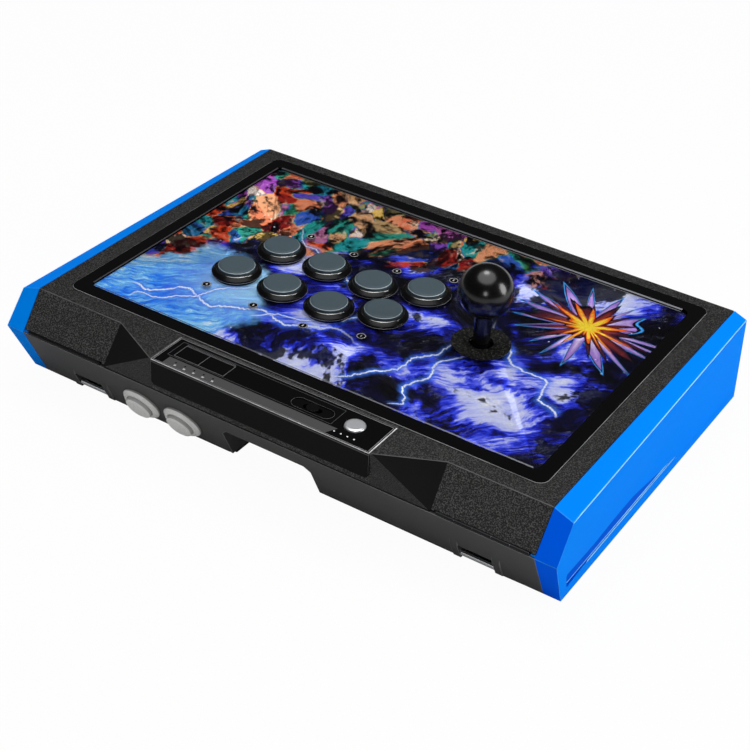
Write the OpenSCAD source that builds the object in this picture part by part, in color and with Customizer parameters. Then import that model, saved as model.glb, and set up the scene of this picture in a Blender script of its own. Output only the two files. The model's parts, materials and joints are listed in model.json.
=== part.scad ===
// Arcade fight stick: a hinged lid with eight buttons and a ball-top lever,
// on a base tray between two coloured side panels.
// +X is the player's right, -Y the player's side, +Z up. The origin is the
// middle of the rubber foot pad's underside. Millimetres.

/* [Case] */
// Width between the outer side faces at the waist
case_w = 404.6; // [396:1:430]
// Depth from the front face to the rear face of the function strip
case_d = 272; // [268:1:290]
// Height of the flat top above the underside of the tray
case_h = 64.2; // [62:1:72]
// Height of the lid above the waist, where it meets the tray
lid_h = 24.8; // [24.6:0.1:26]
// How far the top rear edge stands in front of the waist
rear_slope = 18; // [14:1:22]
// How far the bottom rear edge stands in front of the waist
rear_lean = 19; // [16:1:22]
// How far the waist stands in front of the strip's rear face
waist_back = 2; // [1.5:0.5:4]
// Wall of the plastic shells
wall = 2.6; // [2.2:0.1:3]
// Thickness of the rubber foot pad
foot_t = 2; // [1:0.5:4]

/* [Side panels] */
// Thickness of a side panel at the waist
panel_w = 14.1; // [12:0.5:18]
// How much lower the outer top edge of a panel is than its inner one
panel_drop = 3.8; // [2:0.2:6]
// How much narrower the case is at the rear top corner than at the waist, each side
panel_rear_in = 0.8; // [0.4:0.2:2]
// The same at the front top corner
panel_front_in = 4.7; // [2:0.1:5]
// The same along the bottom edge
panel_foot_in = 2.9; // [1:0.1:4]
// Depth of the groove in the outer face
groove_t = 2; // [1:0.2:2.4]

/* [Lid] */
// Gap between the lid and a side panel
lid_side_gap = 0.35; // [0.3:0.05:0.6]
// Gap between lid and tray along the front and sides
seam_gap = 0.5; // [0.4:0.1:1]
// Gap between lid and tray under the rear centre block
block_gap = 1.2; // [1.2:0.1:1.6]
// Gap between lid and tray over the hinges
hinge_gap = 1.7; // [1.7:0.1:2.4]
// Half width of the rear centre block
block_x = 81; // [76:1:90]
// Distance between the kink in the rear top edge and a hinge
kink_gap = 4.2; // [2:0.2:14]
// How far the block's rear top edge stands in front of the strip's rear face
block_back = 0.6; // [0.4:0.2:1]

/* [Hinges] */
// Radius of the hinge barrel
barrel_r = 0.9; // [0.8:0.1:0.9]
// Radius of the hinge pin
hinge_pin_r = 0.5; // [0.4:0.1:0.5]
// Distance of the outer end of a hinge from the seam
hinge_inset = 4; // [4:1:8]
// Length of one hinge
hinge_len = 60; // [40:2:60]

/* [Play surface] */
// Margin between the clear cover and a side of the lid
cover_side = 12.8; // [12:0.2:16]
// Margin between the clear cover and the front face
cover_front_in = 9.2; // [8:0.2:12]
// Gap between the clear cover and the function strip
cover_rear_in = 2.5; // [2.5:0.5:5]
// Thickness of the clear cover
cover_t = 2.4; // [2:0.2:3]
// How far the clear cover stands above the lid
cover_proud = 0.4; // [0:0.1:0.6]
// Thickness of the printed sheet
art_t = 0.3; // [0.2:0.1:0.5]
// Thickness of the steel control panel
plate_t = 1.6; // [1.2:0.2:2]

/* [Buttons] */
// Spacing of the button columns
pitch_x = 37; // [36:0.5:39]
// First column's offset to the left of the second
first_col_x = 33; // [32:0.5:36]
// First column's offset towards the player
first_col_y = 13.2; // [8:0.2:16]
// Rear row's offset to the right
row_shift = 8.2; // [0:0.2:12]
// Rear row's distance behind the front row
row_pitch = 39.6; // [38:0.2:42]
// Second column, front row: distance right of the middle
button_x = 17.7; // [14:0.1:20]
// Second column, front row: distance in front of the middle
button_y = 17; // [14:0.5:20]
// Diameter of the mounting hole
button_hole_d = 30; // [30:0.1:30.4]
// Diameter of the flange
button_flange_d = 33.3; // [32.6:0.1:34]
// Diameter of the plunger
button_cap_d = 24.6; // [23:0.2:25]
// Travel of a button
button_travel = 3.4; // [2:0.2:3.6]

/* [Rear buttons] */
// Place of the middle of the pair, as a share of the way from the middle to the side seam
rear_pair_share = 0.444; // [0.43:0.002:0.46]
// Spacing of the pair
rear_pitch = 33; // [31:0.5:36]
// Height of the buttons above the underside of the tray
rear_button_h = 14.5; // [14.2:0.1:16]
// Diameter of their mounting holes
rear_hole_d = 24; // [24:0.1:24.4]
// Diameter of their flanges
rear_flange_d = 27.6; // [26:0.2:28]
// Diameter of their plungers
rear_cap_d = 19; // [17:0.2:19]
// Travel of a rear button
rear_travel = 3; // [2:0.2:3]

/* [Lever] */
// Distance of the lever left of the middle
lever_x = 74.6; // [72:0.2:76]
// Distance of the lever behind the middle
lever_y = 0.3; // [-4:0.1:4]
// Diameter of the ball
ball_d = 35; // [30:0.5:40]
// Height of the ball's middle above the lid
ball_h = 39.6; // [36:0.2:46]
// Radius of the steel shaft
shaft_r = 4; // [3.5:0.1:4]
// Outer radius of the shaft cover
sleeve_r = 5.5; // [5.3:0.1:5.5]
// Depth of the tilting point below the lid
pivot_depth = 10.7; // [10.5:0.1:11]
// Radius of the tilting ball
pivot_r = 6.5; // [6.3:0.1:6.7]
// Radius of the dust washer
washer_r = 19; // [18:0.5:20]
// Tilt of the lever each way, in degrees
lever_tilt = 8; // [6:0.5:8]

/* [Function strip] */
// Half width of the strip
strip_x = 79.8; // [74:0.2:80]
// Depth of the strip's top
strip_depth = 30; // [29:0.5:30]
// How far the strip reaches down the rear
strip_drop = 18.5; // [16:0.5:21]
// Thickness of the glossy strip
strip_t = 1.6; // [1.4:0.1:1.8]
// Distance of the round button from the middle
guide_x = 58.9; // [56:0.2:62]
// Diameter of the round button
guide_d = 13; // [11:0.5:14]
// Distance of the lock slider from the middle
lock_x = 29; // [26:0.2:32]
// Travel of the lock slider each way
lock_travel = 3; // [2:0.5:3]
// Number of indicator lamps on the left band
lamps_left = 5; // [3:1:6]
// Number of indicator lamps by the round button
lamps_right = 4; // [2:1:4]

/* [Tray] */
// Half width of the cable notch
notch_x = 33; // [28:1:36]
// Height of the cable notch
notch_h = 26; // [22:1:26]
// Depth of the cable notch, from the bottom rear edge
notch_depth = 45; // [40:1:50]
// Place of a strap notch's middle, as a share of the way from the middle to the side seam
strap_share = 0.773; // [0.763:0.001:0.783]
// Width of a strap notch
strap_w = 23; // [20:1:26]
// Height of a strap notch
strap_h = 13; // [12:0.5:14]
// Radius of a strap bar
strap_r = 2.6; // [2:0.1:2.8]

/* [Latch] */
// Half width of the release button
latch_x = 18; // [14:1:22]
// Height of the release button
latch_h = 9; // [7:0.5:10]
// Travel of the release button
latch_travel = 3.2; // [2.6:0.1:3.4]

/* [Hidden] */
// General clearances and the overrun of a cut
slip = 0.3;
snug = 0.1;
run_gap = 0.05;
over = 1;
$fn = 64;

// Levels
waist_h = case_h - lid_h;
z0 = foot_t;
zw = z0 + waist_h;
zt = z0 + case_h;
z_edge = zw + seam_gap;
z_block = zw + block_gap;
z_hinge_edge = zw + hinge_gap;

// Fore and aft places
yf = -case_d / 2;
yr = case_d / 2;
yw = yr - waist_back;
yt = yw - rear_slope;
yb = yw - rear_lean;

// Sideways places
seam_x = case_w / 2 - panel_w;
lid_x = seam_x - lid_side_gap;
strap_x = seam_x * strap_share;
rear_pair_x = seam_x * rear_pair_share;
hinge_start = seam_x - hinge_inset - hinge_len;
kink_x = hinge_start - kink_gap;

// The tray's rear wall leans by this angle, and the lid's by the other
lean_a = atan(rear_lean / waist_h);
slope_a = atan(rear_slope / lid_h);
lean_wall = wall / cos(lean_a);
slope_wall = wall / cos(slope_a);
function lean_y(z) = yw - rear_lean * (zw - z) / waist_h;
function slope_y(z) = yw - rear_slope * (z - zw) / (zt - zw);

// Play surface edges
strip_front = yr - strip_depth;
cover_x = lid_x - cover_side;
cover_front = case_d / 2 - cover_front_in;
cover_rear = strip_front - cover_rear_in;

// Play surface levels, from the top
z_cover = zt + cover_proud;
z_art = z_cover - cover_t;
z_plate = z_art - art_t;
z_under = z_plate - plate_t;
ledge_t = 2.4;
ledge_w = 8;
rim_t = 2;
cover_corner = 7;
recess_edge = 4.5;
mid_screw_x = 60;
boss_h = 4;
recess_x = cover_x + slip;
recess_front = cover_front + slip;
recess_rear = cover_rear + slip;

// Button places: the first four are the rear row, the last four the front row
button_w = [row_shift, row_pitch];
front_row = [
    [button_x - first_col_x, -button_y - first_col_y],
    for (i = [0:2]) [button_x + i * pitch_x, -button_y]
];
buttons = concat([for (p = front_row) p + button_w], front_row);

// Button parts, heights from the seat of the flange
flange_h = 3;
flange_edge_h = 1.3;
flange_bevel = 2.1;
cap_h = 6;
cap_edge_h = 5.1;
cap_crown = 2.2;
cap_skirt = 4;
body_wall = 1.6;
body_floor = 12;
stem_r = 2.4;
stem_end = 14.8;
leg_w = 8;
leg_t = 1.6;
leg_short = 0.2;
nub_gap = 0.4;
switch_l = 19.8;
switch_w = 6.4;
switch_h = 10.2;
tab_w = 3.2;
tab_t = 0.6;
tab_h = 3;
tab_gap = 6;
nub_r = 1.2;
nub_h = 0.4;
function switch_top(travel) = stem_end + travel + nub_gap + nub_h;

// Lever parts
lever_p = [-lever_x, lever_y];
z_pivot = zt - pivot_depth;
z_ball = zt + ball_h;
lever_hole_r = 12;
lever_plate_x = 26;
lever_plate_y = 47.5;
lever_plate_t = 1.6;
lever_screw_x = 20;
lever_screw_y = 42;
bolt_r = 2;
bolt_head_r = 3.6;
bolt_h = 6;
nut_r = 3.8;
nut_t = 2;
house_x = 23.5;
house_wall = 2.5;
z_house = z_under - lever_plate_t;
seat_depth = 11.2;
seat_open_r = 9.5;
seat_open_h = 2.5;
throat_r = 6.4;
throat_h = 3;
board_t = 1.6;
board_gap = 25.9;
z_lever_board = z_house - board_gap;
board_hole_r = 11;
gate_t = 2.5;
collar_r = 7.6;
collar_h = 1.2;
collar_drop = 7.1;
hub_r = 6.5;
hub_h = 5;
hub_rise = 6.2;
z_hub = z_lever_board + hub_rise;
neck_r = 5;
neck_h = 9;
z_clip = z_hub - hub_h - neck_h;
clip_r = 6;
clip_t = 0.8;
groove_in = 0.8;
shaft_end_h = 1.2;
switch_in = 10.4;
lever_nub = 0.8;
z_gate = z_lever_board - board_t - gate_t;
lever_nub_h = 3.7;
washer_t = 1.1;
washer_lift = 0.3;
washer_slack = 2.3;
ball_flat = 0.4;
sleeve_gap = 0.5;
spring_r = 6.4;
spring_wire = 0.6;
spring_turns = 3;
spring_sides = 6;
spring_steps = 12;

// Hinge places
hinge_in = 1;
hinge_y = yw - hinge_in;
finger_t = 0.5;
finger_lift = 0.2;
hinge_z = zw + finger_lift + barrel_r;
knuckles = 5;
knuckle_gap = 0.3;
knuckle_pitch = hinge_len / knuckles;
barrel_clear = 0.4;
leaf_t = 0.9;
leaf_h = 11;
gap_cut = 8;
function lean_in(z) = lean_y(z) - lean_wall;
function slope_in(z) = slope_y(z) - slope_wall;
function block_y(z) = yw + (yr - block_back - yw) * (z - z_block) / (zt - z_block);

// Strip places
z_strip = zt - strip_t;
strip_leg = yr - strip_t;
strip_corner = 3;
hole_side = 11.8;
hole_x = strip_x - hole_side;
hole_front_in = 3;
hole_front = strip_front + hole_front_in;
hole_rear_in = 4.5;
hole_rear = yr - hole_rear_in;
post_r = 2.5;
post_h = 4;
z_board = zt - wall - post_h;
post_out = 4;
post_x = hole_x + post_out;
post_in = 3.5;
board_out = 8;
board_x = hole_x + board_out;
board_front_in = 0.5;
board_front = hole_front + board_front_in;
board_rear_in = 1;
board_rear = hole_rear - board_rear_in;
guide_in = 12.9;
guide_y = strip_front + guide_in;
guide_proud = 1.2;
guide_dome = 1.8;
guide_travel = 0.8;
guide_flange = 1.5;
tact_w = 6;
tact_h = 1.1;
lock_in = 13;
lock_y = strip_front + lock_in;
lock_r = 4;
lock_proud = 0.5;
lock_pan_x = 14.5;
lock_pan_r = 4.8;
lock_pan_t = 0.6;
lock_neck_x = 1.5;
lock_neck_y = 2;
lock_shoe = 3.6;
lock_shoe_t = 1.2;
lock_fork = 1.2;
lock_switch_x = 6;
lock_switch_y = 2.5;
lock_switch_h = 2;
lamp_r = 0.55;
lamp_pitch = 7.1;
lamp_pitch_right = 4.6;
lamp_left_x = 36.1;
lamp_right_x = 51.9;
lamp_in = 5.8;
lamp_y = yr - lamp_in;

// Tray details
floor_z = z0 + wall;
notch_y = yb - notch_depth;
notch_corner = 4;
strap_depth = 12;
strap_bar_h = 4.3;
strap_bar_in = 0.5;
strap_end = 2;
lip_w = 5;
lip_t = 0.8;
lip_rise = 5;
plate_gap = 4;
base_plate_t = 1.2;
plate_screw_side = 38;
plate_screw_front = 26;
plate_screw_rear = 18;
floor_bite = 2;
boss_r = 3.6;
hole_r = 1.45;
screw_r = 1.4;
head_r = 2.8;
head_h = 1.8;
hex_r = 1.4;
hex_t = 1;
hex_share = 0.6;
loom_r = 1.6;
loom_drop = 5.5;
loom_front = 3;
wire_r = 0.8;
standoff_h = 5.4;
pcb_w = 96;
pcb_d = 70;
pcb_side = 50.2;
pcb_rear_in = 30;
pcb_right = seam_x - pcb_side;
pcb_left = pcb_right - pcb_w;
pcb_rear = notch_y - pcb_rear_in;
pcb_front = pcb_rear - pcb_d;
pcb_in = 5;
pcb_bite = 4;
chip_w = 14;
chip_h = 2;
header_l = 22;
header_w = 6;
header_h = 8;
can_r = 4;
can_h = 9;
socket_r = 6.8;
socket_flange_r = 9;
socket_flange_t = 2;
socket_l = 12;
socket_h = 13;
port_x = 4.5;
port_h = 2.6;
port_depth = 8;
foot_inset = 4;
foot_corner = 6;
pad_gap = 3;
pocket_in = 3;
pocket_w = 6.6;
pocket_x = seam_x + pocket_w;
rib_t = 2;
tab_x = 2.8;
tab_y = 4.5;
tab_rise = 1.1;
side_screw_front = 26;
side_screw_rear = 25;
side_screw_low = 12;
side_screw_high = 9.4;
side_bite = 6;
groove_rear_in = 1;
groove_rear = yb - groove_rear_in;
groove_mid_in = 91;
groove_mid = yb - groove_mid_in;
groove_front_in = 155;
groove_front = yb - groove_front_in;
groove_low = 7.6;
groove_high = 17.6;
ridge_in = 33;
ridge_mid = yb - ridge_in;
ridge_low = 25;
ridge_high = 27;
ridge_t = 1.2;
top_back = 1.4;

// Latch details
latch_rise = 11;
z_latch = zw + latch_rise;
latch_flange = 2;
latch_plate_t = 1.5;
arm_x = 8;
arm_t = 2;
arm_gap = 1.5;
keeper_x = 14;
keeper_t = 3;
keeper_h = 2.6;
keeper_drop = 2.8;
toe_h = 2.6;
toe_gap = 0.4;
latch_clear = 1.7;

// Colours
black = "#2b2b2b";
dark = "#1a1a1a";
blue = "#0087ff";
grey = "#4e5a63";
pale = "#bcbcbc";
steel = "#9aa0a6";
green = "#1f6b45";
clear = "#d8e6f0";

// A box between two opposite corners
module box(a, b) translate(a) cube(b - a);

// An outline of Y and Z, drawn out along X
module span_x(from, to) translate([from, 0, 0]) rotate([90, 0, 90]) linear_extrude(to - from) children();

// An outline of X and Z, drawn out along Y
module span_y(from, to) translate([0, to, 0]) rotate([90, 0, 0]) linear_extrude(to - from) children();

// A drawing and its mirror image across the middle
module both_sides() {
    children();
    mirror([1, 0, 0]) children();
}

// A round bar between two points
module bar(a, b, r) {
    d = b - a;
    translate(a) rotate([0, acos(d[2] / norm(d)), atan2(d[1], d[0])]) cylinder(h = norm(d), r = r, $fn = 24);
}

// A flat rectangle with round corners
module plate_shape(x0, x1, y0, y1, r) {
    translate([x0 + r, y0]) square([x1 - x0 - 2 * r, y1 - y0]);
    translate([x0, y0 + r]) square([x1 - x0, y1 - y0 - 2 * r]);
    for (x = [x0 + r, x1 - r], y = [y0 + r, y1 - r]) translate([x, y]) circle(r);
}

// A pan-head screw, its seat at z = 0 and its shank down
module pan_screw(length) {
    difference() {
        cylinder(h = head_h, r = head_r);
        translate([0, 0, head_h - hex_t]) cylinder(h = hex_t + over, r = hex_r, $fn = 6);
    }
    translate([0, 0, -length]) cylinder(h = length + hex_t / 2, r = screw_r);
}

// A countersunk screw, its flat top at z = 0
module flat_screw(length, shank, head) {
    difference() {
        union() {
            translate([0, 0, shank - head]) cylinder(h = head - shank, r1 = shank, r2 = head);
            translate([0, 0, -length]) cylinder(h = length + shank - head, r = shank);
        }
        translate([0, 0, -hex_t]) cylinder(h = hex_t + over, r = shank * hex_share, $fn = 6);
    }
}

// The hole for a countersunk screw
module flat_hole(length, shank, head) {
    translate([0, 0, shank - head]) cylinder(h = head - shank, r1 = shank, r2 = head);
    translate([0, 0, -over / 2]) cylinder(h = over, r = head);
    translate([0, 0, -length]) cylinder(h = length, r = shank);
}

// The tray's side outline, inset by i
module tray_side(i, low, top) {
    polygon([
        [yf + i, low], [yf + i, top],
        [lean_y(top) - i / cos(lean_a), top], [lean_y(low) - i / cos(lean_a), low]
    ]);
}

// A block inside the tray's rear wall
module rear_block(x0, x1, front, top) {
    span_x(x0, x1) polygon([[front, z0], [front, top], [lean_y(top), top], [yb, z0]]);
}

module cable_notch(rise) {
    span_y(notch_y, yr) polygon([
        [-notch_x, -over], [-notch_x, z0 + rise - notch_corner],
        [notch_corner - notch_x, z0 + rise], [notch_x - notch_corner, z0 + rise],
        [notch_x, z0 + rise - notch_corner], [notch_x, -over]
    ]);
}

module strap_notch() {
    box([strap_x - strap_w / 2, yb - strap_depth, -over], [strap_x + strap_w / 2, yr, z0 + strap_h]);
}

// Raised lips on both sides of a strap notch
module strap_lips() {
    top = z0 + strap_h + lip_rise;
    for (x = [strap_x - strap_w / 2 - lip_w, strap_x + strap_w / 2])
        span_x(x, x + lip_w) polygon([
            [yb - wall, z0], [yb + lip_t, z0],
            [lean_y(top - lip_rise) + lip_t, top - lip_rise], [lean_y(top), top], [lean_y(top) - wall, top]
        ]);
}

// Puts a drawing on the leaning rear face, with +Z outwards
module rear_frame(x) {
    z = z0 + rear_button_h;
    translate([x, lean_y(z), z]) rotate([-90 - lean_a, 0, 0]) children();
}

plate_screws = [
    for (x = [plate_screw_side - seam_x, 0, seam_x - plate_screw_side])
        for (y = [yf + plate_screw_front, notch_y - plate_screw_rear]) [x, y]
];
pcb_corners = [
    for (x = [pcb_left + pcb_in, pcb_right - pcb_in], y = [pcb_front + pcb_in, pcb_rear - pcb_in]) [x, y]
];
side_screws = [
    for (y = [yf + side_screw_front, yb - side_screw_rear])
        for (z = [z0 + side_screw_low, zw - side_screw_high]) [y, z]
];
rear_buttons = [rear_pair_x + rear_pitch / 2, rear_pair_x - rear_pitch / 2];

module bottom_shell() {
    color(black)
    difference() {
        union() {
            difference() {
                span_x(-seam_x, seam_x) tray_side(0, z0, zw);
                span_x(wall - seam_x, seam_x - wall) tray_side(wall, floor_z, zw + over);
            }
            rear_block(-notch_x - wall, notch_x + wall, notch_y - wall, z0 + notch_h + wall);
            both_sides() {
                rear_block(
                    strap_x - strap_w / 2 - wall, strap_x + strap_w / 2 + wall,
                    yb - strap_depth - wall, z0 + strap_h + wall
                );
                strap_lips();
            }
            for (p = pcb_corners) translate([p[0], p[1], z0 + wall / 2])
                cylinder(h = wall / 2 + standoff_h, r = boss_r);
            box(
                [-keeper_x, yf + wall / 2, zw - keeper_drop - keeper_h],
                [keeper_x, yf + wall + keeper_t, zw - keeper_drop]
            );
        }
        cable_notch(notch_h);
        both_sides() {
            strap_notch();
            for (p = side_screws) translate([seam_x - wall - over, p[0], p[1]]) rotate([0, 90, 0])
                cylinder(h = wall + 2 * over, r = screw_r + snug);
            translate([strap_x - strap_w / 2 - strap_end, yb - strap_bar_in, z0 + strap_bar_h])
                rotate([0, 90, 0]) cylinder(h = strap_w + 2 * strap_end, r = strap_r + run_gap);
        }
        for (x = rear_buttons) rear_frame(x) translate([0, 0, -rear_hole_d / 2])
            cylinder(h = rear_hole_d, r = rear_hole_d / 2);
        for (p = plate_screws) translate([p[0], p[1], floor_z - floor_bite - snug])
            cylinder(h = wall, r = hole_r);
        for (p = pcb_corners) translate([p[0], p[1], floor_z + standoff_h - pcb_bite - snug])
            cylinder(h = standoff_h, r = hole_r);
        translate([0, notch_y - wall - over, z0 + socket_h]) rotate([-90, 0, 0])
            cylinder(h = wall + 2 * over, r = socket_r + snug);
    }
}

// The rubber under the case: one large pad in front and four behind, clear of the notches
module foot_pad() {
    x = case_w / 2 - panel_foot_in - foot_inset;
    y = notch_y - wall - pad_gap;
    color(dark)
    difference() {
        linear_extrude(foot_t) plate_shape(-x, x, yf + foot_inset, yb - foot_inset, foot_corner);
        cable_notch(notch_h);
        box([-x - over, y, -over], [x + over, y + pad_gap, foot_t + over]);
        both_sides() strap_notch();
        both_sides() box([strap_x - strap_w / 2, y, -over], [strap_x + strap_w / 2, yr, foot_t + over]);
    }
}

module base_plate() {
    x = seam_x - wall - plate_gap;
    color(steel)
    translate([0, 0, floor_z]) difference() {
        linear_extrude(base_plate_t)
            plate_shape(-x, x, yf + wall + plate_gap, notch_y - wall - plate_gap, foot_corner);
        for (p = plate_screws) translate([p[0], p[1], -over])
            cylinder(h = base_plate_t + 2 * over, r = screw_r + snug);
        for (p = pcb_corners) translate([p[0], p[1], -over])
            cylinder(h = base_plate_t + 2 * over, r = boss_r + slip);
    }
}

// The screws of the base plate and of the main board
module tray_screws() {
    color(steel) {
        for (p = plate_screws) translate([p[0], p[1], floor_z + base_plate_t])
            pan_screw(base_plate_t + floor_bite);
        for (p = pcb_corners) translate([p[0], p[1], floor_z + standoff_h + board_t])
            pan_screw(board_t + pcb_bite);
    }
}

// The panel on the right, which the left one mirrors
module side_panel() {
    xo = case_w / 2;
    inner = [
        [seam_x, yf, z0], [seam_x, yf, zt], [seam_x, yt, zt], [seam_x, yw, zw], [seam_x, yb, z0]
    ];
    outer = [
        [xo - panel_foot_in, yf, z0], [xo - panel_front_in, yf, zt - panel_drop],
        [xo - panel_rear_in, yt + top_back, zt - panel_drop], [xo, yw, zw], [xo - panel_foot_in, yb, z0]
    ];
    n = len(outer);
    sides = [for (i = [0:n - 1]) let (j = (i + 1) % n) each [[n + i, n + j, j], [n + i, j, i]]];
    caps = [[1, 2, 3], [1, 3, 4], [1, 4, 0], [9, 8, 7, 6, 5]];
    color(blue)
    difference() {
        union() {
            polyhedron(points = concat(outer, inner), faces = concat(sides, caps));
            box(
                [seam_x - tab_x, yw - tab_y, zw + finger_lift],
                [seam_x + over, hinge_y, zw + finger_lift + tab_rise]
            );
        }
        difference() {
            panel_pocket();
            for (y = [yf / 2, 0, yb / 2])
                box([seam_x - over, y - rib_t / 2, z0], [pocket_x + over, y + rib_t / 2, zt]);
            for (p = side_screws) translate([seam_x, p[0], p[1]]) rotate([0, 90, 0])
                cylinder(h = pocket_x - seam_x, r = boss_r);
        }
        for (p = side_screws) translate([seam_x - over, p[0], p[1]]) rotate([0, 90, 0])
            cylinder(h = over + side_bite + snug, r = hole_r);
        panel_groove();
    }
}

// The hollow behind a panel's face, open to the tray's wall below the waist
module panel_pocket() {
    top = zt - panel_drop - pocket_in;
    low = z0 + pocket_in;
    span_x(seam_x + wall, pocket_x) polygon([
        [yf + pocket_in, low], [yf + pocket_in, top], [slope_y(top) - 2 * pocket_in, top],
        [yw - 2 * pocket_in, zw], [lean_y(low) - pocket_in, low]
    ]);
    span_x(seam_x - over, pocket_x) tray_side(pocket_in, low, zw - pocket_in);
}

// The long groove low in the outer face, with a sloping facet over it
module panel_groove() {
    xo = case_w / 2;
    xg = xo - panel_foot_in;
    span_x(xg - groove_t + ridge_t / 2, xo + over) polygon([
        [groove_rear, z0 + groove_high], [groove_mid, z0 + groove_high],
        [groove_front, z0 + groove_low + over], [groove_rear - panel_drop, z0 + groove_low]
    ]);
    edge = [
        [groove_rear, z0 + ridge_high], [ridge_mid, z0 + ridge_low],
        [groove_mid, z0 + groove_high], [groove_rear, z0 + groove_high]
    ];
    depth = [0, 0, 0, ridge_t];
    face = [for (p = edge) xg + panel_foot_in * (p[1] - z0) / waist_h * (p[0] - yf) / (yw - yf)];
    polyhedron(
        points = concat(
            [for (i = [0:3]) [xo + over, edge[i][0], edge[i][1]]],
            [for (i = [0:3]) [face[i] - depth[i], edge[i][0], edge[i][1]]]
        ),
        faces = [
            [3, 2, 1, 0], [4, 5, 7], [5, 6, 7],
            [0, 1, 5], [0, 5, 4], [1, 2, 6], [1, 6, 5], [2, 3, 7], [2, 7, 6], [3, 0, 4], [3, 4, 7]
        ]
    );
}

module side_panel_screws() {
    color(steel) both_sides() for (p = side_screws) translate([seam_x - wall, p[0], p[1]])
        rotate([0, -90, 0]) pan_screw(wall + side_bite);
}

module strap_bars() {
    color(steel) both_sides()
        translate([strap_x - strap_w / 2 - strap_end + snug, yb - strap_bar_in, z0 + strap_bar_h])
        rotate([0, 90, 0]) cylinder(h = strap_w + 2 * strap_end - 2 * snug, r = strap_r);
}

// The knuckles of one leaf: first is 0 for the tray's and 1 for the lid's
module hinge_knuckles(first, root, low) {
    for (k = [first:2:knuckles - 1]) {
        x = hinge_start + k * knuckle_pitch + knuckle_gap / 2;
        difference() {
            union() {
                translate([x, hinge_y, hinge_z]) rotate([0, 90, 0])
                    cylinder(h = knuckle_pitch - knuckle_gap, r = barrel_r);
                box([x, root, low], [x + knuckle_pitch - knuckle_gap, hinge_y, low + finger_t]);
            }
            translate([x - over, hinge_y, hinge_z]) rotate([0, 90, 0])
                cylinder(h = knuckle_pitch + 2 * over, r = hinge_pin_r + run_gap);
        }
    }
}

module hinge_base_leaves() {
    top = zw + finger_lift + finger_t;
    low = zw - leaf_h;
    color(dark) both_sides() {
        span_x(hinge_start, hinge_start + hinge_len) polygon([
            [lean_in(zw), top], [lean_in(zw) - leaf_t, top],
            [lean_in(low) - leaf_t, low], [lean_in(low), low], [lean_in(zw), zw]
        ]);
        hinge_knuckles(0, lean_in(zw) - leaf_t, zw + finger_lift);
    }
}

module hinge_lid_leaves() {
    low = z_hinge_edge;
    top = z_hinge_edge + leaf_h;
    color(dark) both_sides() {
        span_x(hinge_start, hinge_start + hinge_len) polygon([
            [slope_in(low), low - finger_t], [slope_in(low) - leaf_t, low - finger_t],
            [slope_in(low) - leaf_t, low], [slope_in(top) - leaf_t, top],
            [slope_in(top), top], [slope_in(low), low]
        ]);
        hinge_knuckles(1, slope_in(low) - leaf_t, low - finger_t);
    }
}

module hinge_pins() {
    color(steel) both_sides() translate([hinge_start, hinge_y, hinge_z])
        rotate([0, 90, 0]) cylinder(h = hinge_len, r = hinge_pin_r);
}

module main_board() {
    z = floor_z + standoff_h;
    top = z + board_t;
    mid_x = (pcb_left + pcb_right) / 2;
    mid_y = (pcb_front + pcb_rear) / 2;
    color(green)
    difference() {
        union() {
            box([pcb_left, pcb_front, z], [pcb_right, pcb_rear, top]);
            translate([mid_x, mid_y, 0])
                box([-chip_w / 2, -chip_w / 2, z], [chip_w / 2, chip_w / 2, top + chip_h]);
            for (x = [pcb_left + chip_w, pcb_right - chip_w - header_l])
                box([x, pcb_rear - header_w - over, z], [x + header_l, pcb_rear - over, top + header_h]);
            for (x = [mid_x - chip_w - header_w, mid_x + chip_w + header_w])
                translate([x, mid_y - chip_w, z]) cylinder(h = board_t + can_h, r = can_r);
        }
        for (p = pcb_corners) translate([p[0], p[1], z - over])
            cylinder(h = board_t + 2 * over, r = screw_r + snug);
    }
}

module cable_socket() {
    z = z0 + socket_h;
    color(steel)
    difference() {
        union() {
            translate([0, notch_y + socket_flange_t - socket_l, z]) rotate([-90, 0, 0])
                cylinder(h = socket_l, r = socket_r);
            translate([0, notch_y, z]) rotate([-90, 0, 0])
                cylinder(h = socket_flange_t, r = socket_flange_r);
        }
        box(
            [-port_x, notch_y + socket_flange_t - port_depth, z - port_h],
            [port_x, notch_y + socket_flange_t + over, z + port_h]
        );
    }
}

// The body of a push button, its flange seated at z = 0
module button_body(flange_d, hole_d, cap_d, travel) {
    bore = cap_d / 2 + slip;
    rim = flange_d / 2;
    tube = hole_d / 2 - 2 * snug;
    grip = switch_w / 2 + run_gap;
    leg_end = switch_top(travel) + switch_h - leg_short;
    rotate_extrude() polygon([
        [bore, -body_floor], [bore, flange_h], [rim - flange_bevel, flange_h], [rim, flange_edge_h],
        [rim, 0], [tube, 0], [tube, -body_floor - body_wall],
        [stem_r + slip, -body_floor - body_wall], [stem_r + slip, -body_floor]
    ]);
    for (s = [0, 180]) rotate(s)
        box([-leg_w / 2, grip, -leg_end], [leg_w / 2, grip + leg_t, -body_floor - body_wall / 2]);
}

// The plunger of a push button
module button_cap(cap_d) {
    r = cap_d / 2;
    rotate_extrude() polygon([
        [0, cap_h], [r - cap_crown, cap_h], [r, cap_edge_h], [r, -cap_skirt],
        [r - body_wall, -cap_skirt], [r - body_wall, cap_edge_h - body_wall],
        [stem_r, cap_edge_h - body_wall], [stem_r, -stem_end], [0, -stem_end]
    ]);
}

// The switch under a push button
module button_switch(travel) {
    top = -switch_top(travel);
    low = top - switch_h;
    box([-switch_l / 2, -switch_w / 2, low], [switch_l / 2, switch_w / 2, top]);
    translate([0, 0, top - over]) cylinder(h = over + nub_h, r = nub_r);
    for (x = [-tab_gap, 0, tab_gap])
        box([x - tab_w / 2, -tab_t / 2, low - tab_h], [x + tab_w / 2, tab_t / 2, low + tab_t]);
}

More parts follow.
